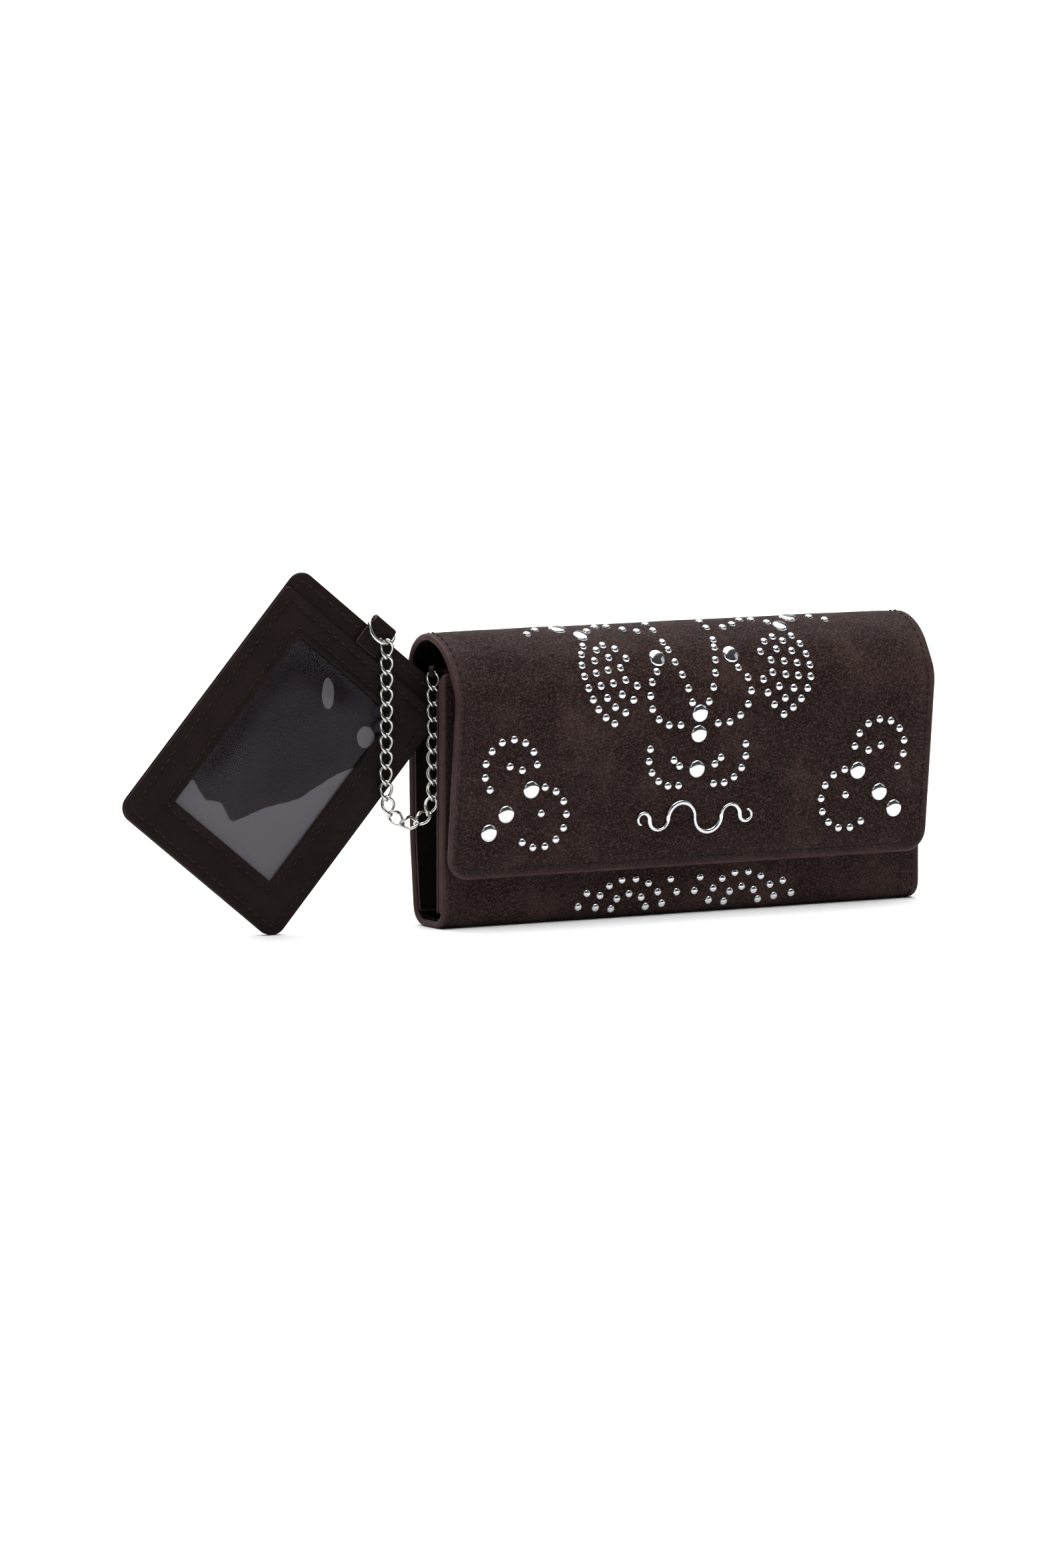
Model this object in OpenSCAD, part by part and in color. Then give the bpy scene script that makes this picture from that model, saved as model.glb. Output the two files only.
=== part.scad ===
// Chain wallet: a long studded flap wallet, and a card holder that hangs from it on a curb chain.
// Millimetres. The origin is the middle of the flat strip that the wallet stands on.
// X runs along the wallet, -Y is the front with the flap, +Z is up.

/* [Wallet] */
// Length of the wallet over the flap
wallet_w = 195; // [185:1:205]
// Height of the wallet over the arch
wallet_h = 101; // [98:0.5:104]
// Thickness of the leather skin of the pocket section and the arch
skin_t = 1.5; // [1.2:0.1:1.6]
// Thickness of the lining bonded inside the skin
lining_t = 0.9; // [0.6:0.1:1]
// Thickness of the leather on the padded flap
flap_skin_t = 1.7; // [1.4:0.1:1.8]
// Thickness of the lining on the back of the flap
flap_lining_t = 1.1; // [0.8:0.1:1.2]
// Height of the flap's lower edge above the floor
flap_hem_z = 17; // [16:0.5:24]
// Radius of the flap's two lower corners
flap_corner_r = 8; // [5:0.5:12]

/* [Pocket section] */
// How far the side gussets fold into the wallet
gusset_depth = 19.5; // [16:0.5:20]
// Height of the top edge of the front panel
mouth_z = 88; // [86:0.5:89]
// Length of the zipped coin pocket
coin_w = 148; // [130:1:150]
// Thickness of the zipped coin pocket
coin_t = 5; // [4.5:0.1:5.2]
// Length of the card slot panels, two cards side by side
slots_w = 172; // [168:1:172]

/* [Studs] */
// Radius of a small stud
small_r = 1.5; // [1.3:0.05:1.6]
// Radius of a large stud
large_r = 3.2; // [2.8:0.1:3.3]

/* [Card holder] */
// Width of the card holder
holder_w = 73.5; // [70:0.5:76]
// Height of the card holder, from its lower edge to the edge with the ring
holder_h = 105; // [102:0.5:107]
// Radius of the card holder's corners
holder_r = 5.5; // [4:0.5:7]
// Width of the clear window
window_w = 45; // [42:0.5:47]
// Height of the clear window
window_h = 71; // [68:0.5:73]
// How far the card holder leans to the right as it stands on its corner
holder_lean = 39.7; // [39.7:0.1:39.7]
// Turn of the card holder about the vertical, so its right corner is tucked in the gusset
holder_yaw = -7; // [-7:0.5:-7]

/* [Chain] */
// Number of curb links
links = 23; // [23:1:23]
// Distance from one contact between links to the next
pitch = 5.5; // [5.5:0.1:5.5]
// Wire diameter of a link
wire = 1; // [0.9:0.05:1]
// Width of a link
link_w = 5.2; // [5:0.1:5.4]

/* [Hidden] */
$fn = 48;
LINKS = [for (i = [1:23]) str("chain_link_", i < 10 ? "0" : "", i)];

suede = [0.20, 0.14, 0.13];
edge_brown = [0.29, 0.21, 0.20];
lining_brown = [0.12, 0.09, 0.09];
smooth_brown = [0.13, 0.10, 0.09];
chrome = [0.80, 0.81, 0.82];
clear_film = [0.62, 0.62, 0.68, 0.45];
tape_brown = [0.10, 0.08, 0.08];

// ---- Side profile, in the YZ plane. Each point is [y, z, n]: n is the angle of the outward
// ---- normal, 0 to the back, 90 up, 180 to the front and 270 down.
front_y = -10.6;
back_y = 14;
corner_r = 6;
back_corner_r = 7;
back_foot_y = 10.6;
back_waist = [12.9, 30, -3.3];
crown_r = 12.5;
brow_r = 22;
brow_end = 150;
temple_l = 6;
cheek_r = 14;
hang_n = 186;
crown_end = 100;
// Hinge lines, by their normal angle
fold_1_n = 8;
fold_2_n = 70;
flap_n = 128;
fold_gap = 0.15;

function dir(n) = [cos(n), sin(n)];
function along(n) = [-sin(n), cos(n)];
function arc(c, r, a, b, k) = [for (i = [0:k]) let (n = a + (b - a) * i / k)
    [c[0] + r * cos(n), c[1] + r * sin(n), n]];
function yz(p) = [p[0], p[1]];
crown_c = [back_y - crown_r, wallet_h - crown_r];
brow_c = crown_c + (crown_r - brow_r) * dir(crown_end);
brow_p = brow_c + brow_r * dir(brow_end);
temple_p = brow_p + temple_l * along(brow_end);
cheek_c = temple_p - cheek_r * dir(brow_end);
cheek_p = cheek_c + cheek_r * dir(hang_n);
hang_l = (cheek_p[1] - flap_hem_z) / -along(hang_n)[1];
hem_p = cheek_p + hang_l * along(hang_n);

body_path = concat(
    [[front_y, mouth_z, 180]],
    arc([front_y + corner_r, corner_r], corner_r, 180, 270, 8),
    arc([back_foot_y - back_corner_r, back_corner_r], back_corner_r, 270, 352, 8),
    [back_waist],
    arc(crown_c, crown_r, 0, fold_1_n - fold_gap * 2, 2));
fold_1_path = arc(crown_c, crown_r, fold_1_n + fold_gap * 2, fold_2_n - fold_gap * 2, 8);
fold_2_path = concat(
    arc(crown_c, crown_r, fold_2_n + fold_gap * 2, crown_end, 4),
    arc(brow_c, brow_r, crown_end + 2, flap_n - fold_gap * 2, 4));
flap_path = concat(
    arc(brow_c, brow_r, flap_n + fold_gap * 2, brow_end, 4),
    arc(cheek_c, cheek_r, brow_end, hang_n, 6),
    [[hem_p[0], hem_p[1], hang_n]]);

// A layer of the sheet between two depths under the outer surface
function layer(path, top, under) = concat(
    [for (p = path) yz(p) - top * dir(p[2])],
    [for (i = [len(path) - 1:-1:0]) yz(path[i]) - under * dir(path[i][2])]);

// Where a stud sits on the flap: s is the distance along the outer surface from the arch's top
crown_s = crown_r * (crown_end - 90) * PI / 180;
brow_s = crown_s + brow_r * (brow_end - crown_end) * PI / 180;
temple_s = brow_s + temple_l;
cheek_s = temple_s + cheek_r * (hang_n - brow_end) * PI / 180;
flap_s = crown_s + brow_r * (flap_n - crown_end) * PI / 180;
function polar(c, r, n) = [c[0] + r * cos(n), c[1] + r * sin(n), n];
function ray(p, n, d) = [p[0] + d * along(n)[0], p[1] + d * along(n)[1], n];
function on_flap(s) =
    s < crown_s ? polar(crown_c, crown_r, 90 + s / crown_r * 180 / PI) :
    s < brow_s ? polar(brow_c, brow_r, crown_end + (s - crown_s) / brow_r * 180 / PI) :
    s < temple_s ? ray(brow_p, brow_end, s - brow_s) :
    s < cheek_s ? polar(cheek_c, cheek_r, brow_end + (s - temple_s) / cheek_r * 180 / PI) :
    ray(cheek_p, hang_n, s - cheek_s);
// Where a stud sits on the front panel: q is the height, measured along the surface
function on_front(q) = q > corner_r ? [front_y, q, 180] :
    polar([front_y + corner_r, corner_r], corner_r, 180 + (corner_r - q) / corner_r * 180 / PI);

// ---- Stud ornament: [x, s] for one half, mirrored to the other
stud_gap = 2.2;
function sweep(c, rx, ry, a, b, k) = [for (i = [0:k - 1]) let (t = a + (b - a) * i / (k - 1))
    [c[0] + rx * cos(t), c[1] + ry * sin(t)]];
function nudge(s) = abs(s - flap_s) > stud_gap ? s : s < flap_s ? flap_s - stud_gap : flap_s + stud_gap;
arms = [for (i = [0:7]) [3.4 + 7.6 * sin(13 * i), 38 - 4.9 * i]];
frame_arc = sweep([9.5, 35], 11, 11, -50, 100, 7);
cup_arc = sweep([9, 56.5], 10.8, 10.8, -15, 100, 6);
cup_inner = sweep([0, 50], 12.5, 12.5, 40, 55, 2);
fan = [for (ring = [1:4]) each sweep([25.5, 26], 5 * ring + 0.4, 4.9 * ring + 0.4,
    -78 + 8 * ring, 96 - 8 * ring, 2 + 2 * ring)];
crest = [for (i = [0:9]) [17.5 + 4.8 * i, 6.2 + 2.6 * cos(72 * i)]];
comma_top = sweep([75, 58], 10.4, 10.4, 40, -200, 10);
comma_tail = sweep([62.5, 75.4], 10.6, 10.6, 52, 262, 9);
comma_eye = [[75.5, 57], [70.5, 58.5], [62, 74]];
small_half = concat(arms, frame_arc, cup_arc, cup_inner, fan, crest, comma_top, comma_tail, comma_eye);
large_half = [[15, 21.5], [66.5, 65.5], [76, 73.6], [82.5, 79.8]];
large_middle = [[0, 42], [0, 49.2], [0, 61.6]];
crest_large = [[47, 2.6 + large_r - small_r]];
function clear_of(p, list, d) = len([for (q = list) if (norm(p - q) < d) 1]) == 0;
large_all = concat(large_half, large_middle, crest_large);
small_all = [for (p = small_half) let (q = [p[0], nudge(p[1])]) if (clear_of(q, large_all, 4.9)) q];
front_swirl = concat(
    sweep([23, 3.2], 13.5, 10.4, 6, 174, 8),
    sweep([23, 3.4], 7, 5, 0, 180, 5),
    [[3.6, 8], [6, 12.6], [40, 9.5], [43.5, 5]]);

// ---- Card holder pose
lean_x = [cos(holder_lean), 0, -sin(holder_lean)];
lean_z = [sin(holder_lean), 0, cos(holder_lean)];
holder_foot = [-153.6, 8, holder_r - holder_r * (cos(holder_lean) + sin(holder_lean)) + 0.02];
function yawed(v) = [v[0] * cos(holder_yaw) - v[1] * sin(holder_yaw),
    v[0] * sin(holder_yaw) + v[1] * cos(holder_yaw), v[2]];
function in_holder(p) = holder_foot + yawed(p[0] * lean_x + [0, p[1], 0] + p[2] * lean_z);
back_t = 1.9;
frame_t = 1.4;
film_t = 0.4;
mouth_drop = 8;
tab_w = 9.2;
tab_y = -1.2;
tab_z = holder_h + 2.4;
ring_wire = 1.4;
ring_r = 5.45;
ring_neck = 1;
ring_tilt = 33;
// The ring's lowest point, where the chain hangs
ring_low_a = atan2(sin(holder_lean), cos(holder_lean) * cos(ring_tilt));
ring_depth = ring_neck + ring_r * cos(ring_low_a);
ring_low = in_holder([-holder_w / 2 + ring_r * sin(ring_low_a),
    tab_y - ring_depth * sin(ring_tilt), tab_z - ring_depth * cos(ring_tilt)]);

// ---- Chain: link k of a hanging chain slopes by the weight below it over the pull sideways.
// Curb links can't fold sharply, so the pull counts for more near the lowest link.
chain_yaw = -7.1;
side_pull = -0.351;
low_pull = 10;
stiff_links = 2;
low_link = 12.064;
link_gap = pitch - 0.12;
chain_dir = [cos(chain_yaw), sin(chain_yaw), 0];
chain_start = ring_low + [0, 0, ring_wire / 2 + 0.06];
function pull(k) = side_pull + (low_pull - side_pull) * exp(-pow((k - low_link) / stiff_links, 2));
function heading(k) = let (d = [pull(k), (k - low_link) * pitch]) d / norm(d);
function total(v, i = 0) = i < len(v) ? v[i] + total(v, i + 1) : [0, 0];
function joint_at(k) = let (run = link_gap * total([for (i = [0:1:k - 1]) heading(i)]))
    chain_start + run[0] * chain_dir + [0, 0, run[1]];
chain_end = joint_at(links);

// ---- Curb link: an oval loop of wire, twisted so that links cross at right angles
link_twist = -58;
link_rings = 16;
link_sides = 6;
oval_a = (link_w - wire) / 2;
oval_b = (pitch + wire) / 2;
function oval(t) = [oval_a * cos(t), 0, oval_b * sin(t)];
function twisted(p) = let (b = link_twist * p[2] / oval_b)
    [p[0] * cos(b) - p[1] * sin(b), p[0] * sin(b) + p[1] * cos(b), p[2]];
function unit(v) = v / norm(v);
function link_ring(i) = let (t = 360 * i / link_rings, c = twisted(oval(t)),
    ahead = unit(twisted(oval(t + 2)) - twisted(oval(t - 2))),
    outward = unit(cross(cross(ahead, c + [0, 0, 0.001]), ahead)), side = cross(ahead, outward))
    [for (j = [0:link_sides - 1]) let (u = 360 * j / link_sides)
        c + wire / 2 * (cos(u) * outward + sin(u) * side)];
link_points = [for (i = [0:link_rings - 1]) each link_ring(i)];
function link_index(i, j) = (i % link_rings) * link_sides + j % link_sides;
link_faces = [for (i = [0:link_rings - 1], j = [0:link_sides - 1], half = [0, 1]) half == 0 ?
    [link_index(i, j), link_index(i, j + 1), link_index(i + 1, j + 1)] :
    [link_index(i, j), link_index(i + 1, j + 1), link_index(i + 1, j)]];

// ---- Shared shapes
module extrude_x(w) translate([-w / 2, 0, 0]) rotate([90, 0, 90]) linear_extrude(w) children();

module box(x0, x1, y0, y1, z0, z1) translate([x0, y0, z0]) cube([x1 - x0, y1 - y0, z1 - z0]);

// Puts a shape on the profile, its own +Z along the outward normal
module on_profile(x, p) translate([x, p[0], p[1]]) rotate([p[2] - 90, 0, 0]) children();

module stud(r, h) translate([0, 0, -0.02]) cylinder(h = h, r1 = r, r2 = r * 0.62);

// Round-cornered outline in the XZ plane, between two depths
module plate(x0, x1, z0, z1, y0, y1, r_low, r_high)
    translate([0, y1, 0]) rotate([90, 0, 0]) linear_extrude(y1 - y0) {
        translate([x0 + r_low, z0]) square([x1 - x0 - 2 * r_low, z1 - z0]);
        translate([x0, z0 + r_low]) square([x1 - x0, z1 - z0 - r_low - r_high]);
        translate([x0 + r_high, z0 + r_low]) square([x1 - x0 - 2 * r_high, z1 - z0 - r_low]);
        for (x = [x0 + r_low, x1 - r_low]) translate([x, z0 + r_low]) circle(r_low);
        for (x = [x0 + r_high, x1 - r_high]) translate([x, z1 - r_high]) circle(r_high);
    }

// ---- Pocket section
cover_w = wallet_w - 1;
cover_t = skin_t + lining_t;
inner_front_y = front_y + cover_t;
inner_back_y = back_foot_y - cover_t;
pocket_y = inner_front_y + 0.3;
pocket_t = 2;
gusset_y = pocket_y + pocket_t;
gusset_t = 0.8;
gusset_z0 = 5;
gusset_z1 = 83;
gusset_apex_y = 0.5;

module outer_cover() color(suede) extrude_x(cover_w) polygon(layer(body_path, 0, skin_t));

module body_lining() color(lining_brown) extrude_x(cover_w - 1)
    polygon(layer(body_path, skin_t, cover_t));

// Second leather board behind the front panel: together they make the front slip pocket
module front_pocket_panel() color(edge_brown) {
    box(-cover_w / 2 + 1, cover_w / 2 - 1, pocket_y, gusset_y, 5, mouth_z - 1.5);
    box(-cover_w / 2 + 1, cover_w / 2 - 1, inner_front_y, gusset_y, 6.5, 8);
}

// One leg of a gusset: a thin wall from the fold line to a leaning edge
module gusset_leg(edge_low_y, edge_high_y) hull() {
    for (p = [[gusset_z0, edge_low_y], [gusset_z1 - 1, edge_high_y]]) {
        translate([-cover_w / 2 + 1.2, p[1] - gusset_t / 2, p[0]]) cube([0.8, gusset_t, 1]);
        translate([-cover_w / 2 + gusset_depth, gusset_apex_y - gusset_t / 2, p[0]])
            cube([0.8, gusset_t, 1]);
    }
}

module left_gusset() color(lining_brown) {
    gusset_leg(gusset_y + gusset_t / 2, gusset_y + gusset_t / 2);
    gusset_leg(inner_back_y - 0.6, back_y - cover_t - 1.2);
}

module right_gusset() color(lining_brown) mirror([1, 0, 0]) left_gusset();

// Two columns of three card slots, each step lower than the one behind it
slot_step = 0.6;
module card_slots(y0, towards) {
    for (row = [0:2]) {
        depth = slot_step * (row + 1);
        top = 78 - 12 * row;
        box(-slots_w / 2, slots_w / 2, towards > 0 ? y0 : y0 - depth,
            towards > 0 ? y0 + depth : y0, 9, top);
    }
}

module front_card_slots() color(smooth_brown) card_slots(gusset_y + 0.9, 1);

module back_card_slots() color(smooth_brown) card_slots(inner_back_y - 0.4, -1);

pocket_y0 = -1.6;
pocket_wall = 0.8;
pocket_z0 = 9;
pocket_z1 = 82;
module coin_pocket() color(lining_brown) difference() {
    box(-coin_w / 2, coin_w / 2, pocket_y0, pocket_y0 + coin_t, pocket_z0, pocket_z1);
    box(-coin_w / 2 + 2, coin_w / 2 - 2, pocket_y0 + pocket_wall, pocket_y0 + coin_t - pocket_wall,
        pocket_z0 + 1.5, pocket_z1 + 1);
}

zip_y = pocket_y0 + coin_t / 2;
zip_z = pocket_z1 + 0.05;
tooth_pitch = 2.2;
zip_half = coin_w / 2 - 5;
module zip_tapes() color(tape_brown) for (side = [-1, 1])
    box(-coin_w / 2 + 1, coin_w / 2 - 1, zip_y + (side < 0 ? -2.4 : 0.75),
        zip_y + (side < 0 ? -0.75 : 2.4), zip_z, zip_z + 0.7);

// Interlocked teeth, with a stop at each end
module zip_teeth() color(chrome) {
    for (x = [-zip_half + 1:tooth_pitch:zip_half - 1]) {
        box(x, x + 0.9, zip_y - 0.7, zip_y + 0.3, zip_z, zip_z + 1.1);
        box(x + tooth_pitch / 2, x + tooth_pitch / 2 + 0.9, zip_y - 0.3, zip_y + 0.7, zip_z, zip_z + 1.1);
    }
    for (x = [-zip_half - 1.4, zip_half + 1]) box(x, x + 1.6, zip_y - 0.72, zip_y + 0.72, zip_z, zip_z + 1.3);
}

slider_x = -zip_half + 4;
slider_z = zip_z + 1.35;
pull_axis_z = slider_z + 2.2;
pull_pin_r = 0.5;
module zip_slider() color(chrome) {
    box(slider_x - 3.6, slider_x + 3.6, zip_y - 1.9, zip_y + 1.9, slider_z, slider_z + 1);
    for (side = [-1, 1]) box(slider_x - 1, slider_x + 1, zip_y + side * 1.5 - 0.4, zip_y + side * 1.5 + 0.4,
        slider_z + 1, pull_axis_z + 0.7);
    translate([slider_x, zip_y + 1.3, pull_axis_z]) rotate([90, 0, 0]) cylinder(h = 2.6, r = pull_pin_r);
}

pull_l = 8.5;
module zip_pull() color(chrome) difference() {
    union() {
        box(slider_x, slider_x + pull_l, zip_y - 0.95, zip_y + 0.95, pull_axis_z - 0.75, pull_axis_z + 0.75);
        translate([slider_x, zip_y + 0.95, pull_axis_z]) rotate([90, 0, 0]) cylinder(h = 1.9, r = 1.05);
    }
    translate([slider_x, zip_y + 2, pull_axis_z]) rotate([90, 0, 0]) cylinder(h = 4, r = pull_pin_r + 0.12);
}

divider_w = 165;
module bill_divider() color(lining_brown)
    box(-divider_w / 2, divider_w / 2, 4.6, 5.3, 7, 79);

module body_studs() color(chrome) for (p = front_swirl, side = [-1, 1])
    on_profile(side * p[0], on_front(p[1])) stud(small_r, 0.95);

snap_z = 40;
module snap_socket() color(chrome) translate([0, front_y + 0.02, snap_z]) rotate([90, 0, 0])
    difference() {
        cylinder(h = 1.5, r = 7);
        translate([0, 0, 0.5]) cylinder(h = 2, r = 3);
    }

// Leather strap, folded round the last link and sewn to the back lining above the gusset
strap_w = 5;
strap_t = 1.5;
strap_turn = chain_yaw - 45;
strap_eye_w = 1.6;
strap_eye_r = 2.1;
strap_hole_r = 1.4;
module chain_strap() color(smooth_brown) difference() {
    translate(chain_end + [0, 0, wire / 2 + 0.06]) rotate([0, 0, strap_turn]) difference() {
        union() {
            translate([-strap_eye_w / 2, 0, 0]) rotate([0, 90, 0]) cylinder(h = strap_eye_w, r = strap_eye_r);
            translate([-strap_eye_w / 2, 0, -strap_t / 2]) cube([strap_w, 32, strap_t]);
        }
        translate([-3, 0, 0]) rotate([0, 90, 0]) cylinder(h = 6, r = strap_hole_r);
        translate([strap_eye_w / 2, -3, -2]) cube([strap_w, 6, 4]);
    }
    box(-120, 0, back_y - cover_t - 0.05, back_y + 30, 60, 120);
}

// ---- Arch and flap
module fold_1_skin() color(suede) extrude_x(wallet_w) polygon(layer(fold_1_path, 0, skin_t));

module fold_1_lining() color(lining_brown) extrude_x(wallet_w - 1)
    polygon(layer(fold_1_path, skin_t, cover_t));

module fold_2_skin() color(suede) extrude_x(wallet_w) polygon(layer(fold_2_path, 0, skin_t));

module fold_2_lining() color(lining_brown) extrude_x(wallet_w - 1)
    polygon(layer(fold_2_path, skin_t, cover_t));

module studs_between(list, r, h, s0, s1)
    for (p = list, side = p[0] == 0 ? [1] : [-1, 1]) if (p[1] > s0 && p[1] <= s1)
        on_profile(side * p[0], on_flap(p[1])) stud(r, h);

module fold_2_studs() color(chrome) {
    studs_between(small_all, small_r, 0.95, 0, flap_s);
    studs_between(large_all, large_r, 1.1, 0, flap_s);
}

// Full width outline of the flap with its two round lower corners
module flap_outline(inset) intersection() {
    children();
    plate(-wallet_w / 2 + inset, wallet_w / 2 - inset, flap_hem_z - 1, wallet_h + 5, -30, 10,
        flap_corner_r, 1);
}

module flap_skin() color(suede) flap_outline(0)
    extrude_x(wallet_w + 2) polygon(layer(flap_path, 0, flap_skin_t));

module flap_lining() color(lining_brown) flap_outline(0.4)
    extrude_x(wallet_w + 2) polygon(layer(flap_path, flap_skin_t, flap_skin_t + flap_lining_t));

module flap_small_studs() color(chrome) studs_between(small_all, small_r, 0.95, flap_s, 200);

module flap_large_studs() color(chrome) studs_between(large_all, large_r, 1.1, flap_s, 200);

// Scroll ornament of flat bent strips, the same turned half round
badge_s = 78.5;
badge_w = 1.5;
badge_h = 1.1;
module curl(x, z, r, from, turn) translate([x, z, 0]) rotate([0, 0, from])
    rotate_extrude(angle = turn) translate([r - badge_w / 2, 0]) square([badge_w, badge_h]);
module half_scroll() {
    curl(5, 0, 5, 180, 180);
    curl(13.5, 0, 3.5, 0, 180);
    curl(19.5, 0, 2.5, 180, 250);
}

module flap_badge() color(chrome) on_profile(0, on_flap(badge_s)) for (half = [0, 180])
    rotate([0, 0, half]) half_scroll();

module snap_stud() color(chrome) on_profile(0, on_flap(temple_s + 44.5)) mirror([0, 0, 1])
    translate([0, 0, flap_skin_t + flap_lining_t - 0.02]) {
        cylinder(h = 0.8, r = 7);
        cylinder(h = 1.4, r = 2.4);
    }

// ---- Card holder
module in_holder_frame() translate(holder_foot) rotate([0, 0, holder_yaw])
    rotate([0, holder_lean, 0]) children();

module holder_back_panel() color(smooth_brown) in_holder_frame()
    plate(-holder_w, 0, 0, holder_h, 0, back_t, holder_r, holder_r);

window_x = -holder_w / 2;
window_z = 15;
frame_top = holder_h - mouth_drop;
module holder_front_frame() color(smooth_brown) in_holder_frame() difference() {
    plate(-holder_w, 0, 0, frame_top, -film_t - frame_t, -film_t, holder_r, 0.6);
    plate(window_x - window_w / 2, window_x + window_w / 2, window_z, window_z + window_h,
        -film_t - frame_t - 1, 0, 1.5, 1.5);
}

module holder_window() color(clear_film) in_holder_frame()
    plate(window_x - window_w / 2 - 4, window_x + window_w / 2 + 4, window_z - 4,
        window_z + window_h + 4, -film_t, -0.02, 2, 2);

module holder_tab() color(smooth_brown) in_holder_frame() translate([-holder_w / 2, tab_y, tab_z])
    difference() {
        union() {
            translate([-tab_w / 2, 0, 0]) rotate([0, 90, 0]) cylinder(h = tab_w, r = 1.9);
            translate([-tab_w / 2, -0.2, frame_top - tab_z + 0.2])
                cube([tab_w, -tab_y + 0.2, tab_z - frame_top]);
        }
        translate([-tab_w / 2 - 1, 0, 0]) rotate([0, 90, 0]) cylinder(h = tab_w + 2, r = 0.85);
    }

module holder_rivet() color(chrome) in_holder_frame()
    translate([-holder_w / 2 + tab_w / 2 - 2.2, tab_y - 0.15, tab_z - 4]) rotate([90, 0, 0])
    cylinder(h = 0.6, r1 = 1, r2 = 0.7);

module holder_d_ring() color(chrome) in_holder_frame() translate([-holder_w / 2, tab_y, tab_z])
    rotate([-ring_tilt, 0, 0]) {
        translate([-ring_r, 0, 0]) rotate([0, 90, 0]) cylinder(h = 2 * ring_r, r = ring_wire / 2);
        for (x = [-ring_r, ring_r]) {
            translate([x, 0, 0]) sphere(ring_wire / 2);
            translate([x, 0, -ring_neck]) cylinder(h = ring_neck, r = ring_wire / 2);
        }
        translate([0, 0, -ring_neck]) rotate([-90, 0, 0]) rotate_extrude(angle = 180)
            translate([ring_r, 0]) circle(ring_wire / 2);
    }

// ---- Chain
module chain_link(k) color(chrome) {
    a = joint_at(k - 1);
    b = joint_at(k);
    d = heading(k - 1);
    flat = -d[1] * chain_dir + [0, 0, d[0]];
    span = d[0] * chain_dir + [0, 0, d[1]];
    face = cross(span, flat);
    m = (a + b) / 2;
    multmatrix([[flat[0], face[0], span[0], m[0]], [flat[1], face[1], span[1], m[1]],
        [flat[2], face[2], span[2], m[2]], [0, 0, 0, 1]]) polyhedron(link_points, link_faces, convexity = 4);
}

outer_cover();
body_lining();
front_pocket_panel();
left_gusset();
right_gusset();
front_card_slots();
coin_pocket();
zip_tapes();
zip_teeth();
zip_slider();
zip_pull();
bill_divider();
back_card_slots();
body_studs();
snap_socket();
chain_strap();
fold_1_skin();
fold_1_lining();
fold_2_skin();
fold_2_lining();
fold_2_studs();
flap_skin();
flap_lining();
flap_small_studs();
flap_large_studs();
flap_badge();
snap_stud();
holder_back_panel();
holder_front_frame();
holder_window();
holder_tab();
holder_rivet();
holder_d_ring();
for (k = [1:links]) chain_link(k);
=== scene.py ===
"""Looks of the chain wallet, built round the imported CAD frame.

Lengths inside the functions are in millimetres, and become metres where a mesh is made.
The wallet's leather is one sheet: down the front, under, up the back, over the arch and down as the flap.
"""

from collections import namedtuple

import bmesh
import bpy
import numpy as np
from mathutils import Matrix, Vector


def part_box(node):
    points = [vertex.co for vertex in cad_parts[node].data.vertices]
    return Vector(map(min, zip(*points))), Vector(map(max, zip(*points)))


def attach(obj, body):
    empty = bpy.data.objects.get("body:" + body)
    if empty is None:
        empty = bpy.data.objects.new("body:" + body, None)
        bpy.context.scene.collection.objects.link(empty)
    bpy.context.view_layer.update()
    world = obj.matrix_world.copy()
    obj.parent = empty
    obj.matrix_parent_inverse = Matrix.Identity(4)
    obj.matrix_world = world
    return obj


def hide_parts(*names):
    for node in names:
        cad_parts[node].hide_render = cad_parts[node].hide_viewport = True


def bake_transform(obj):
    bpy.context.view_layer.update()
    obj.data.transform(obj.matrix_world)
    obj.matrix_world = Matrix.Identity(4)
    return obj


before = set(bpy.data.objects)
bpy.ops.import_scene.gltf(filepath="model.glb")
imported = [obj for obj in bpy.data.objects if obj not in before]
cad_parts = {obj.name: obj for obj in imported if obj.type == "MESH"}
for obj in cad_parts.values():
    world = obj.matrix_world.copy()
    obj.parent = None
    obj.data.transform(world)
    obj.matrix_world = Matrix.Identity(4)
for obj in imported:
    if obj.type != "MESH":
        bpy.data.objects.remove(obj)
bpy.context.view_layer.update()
MM = 0.001


# ---------------------------------------------------------------- camera
def make_camera():
    """Long lens, 31 degrees to the left of the front and 6 degrees up."""
    azimuth, elevation, distance = np.radians(30.77), np.radians(5.74), 3.128
    aim_right, aim_up = -0.05102, 0.04414
    right = Vector((np.cos(azimuth), -np.sin(azimuth), 0))
    level = np.cos(elevation)
    ahead = Vector((np.sin(azimuth) * level, np.cos(azimuth) * level, -np.sin(elevation)))
    up = right.cross(ahead)
    data = bpy.data.cameras.new("camera")
    data.lens = 206.2
    data.sensor_width = 36
    data.clip_end = 50
    camera = bpy.data.objects.new("camera", data)
    bpy.context.scene.collection.objects.link(camera)
    place = Matrix((right, up, -ahead)).transposed().to_4x4()
    place.translation = aim_right * right + aim_up * up - distance * ahead
    camera.matrix_world = place
    bpy.context.scene.camera = camera


make_camera()


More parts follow.
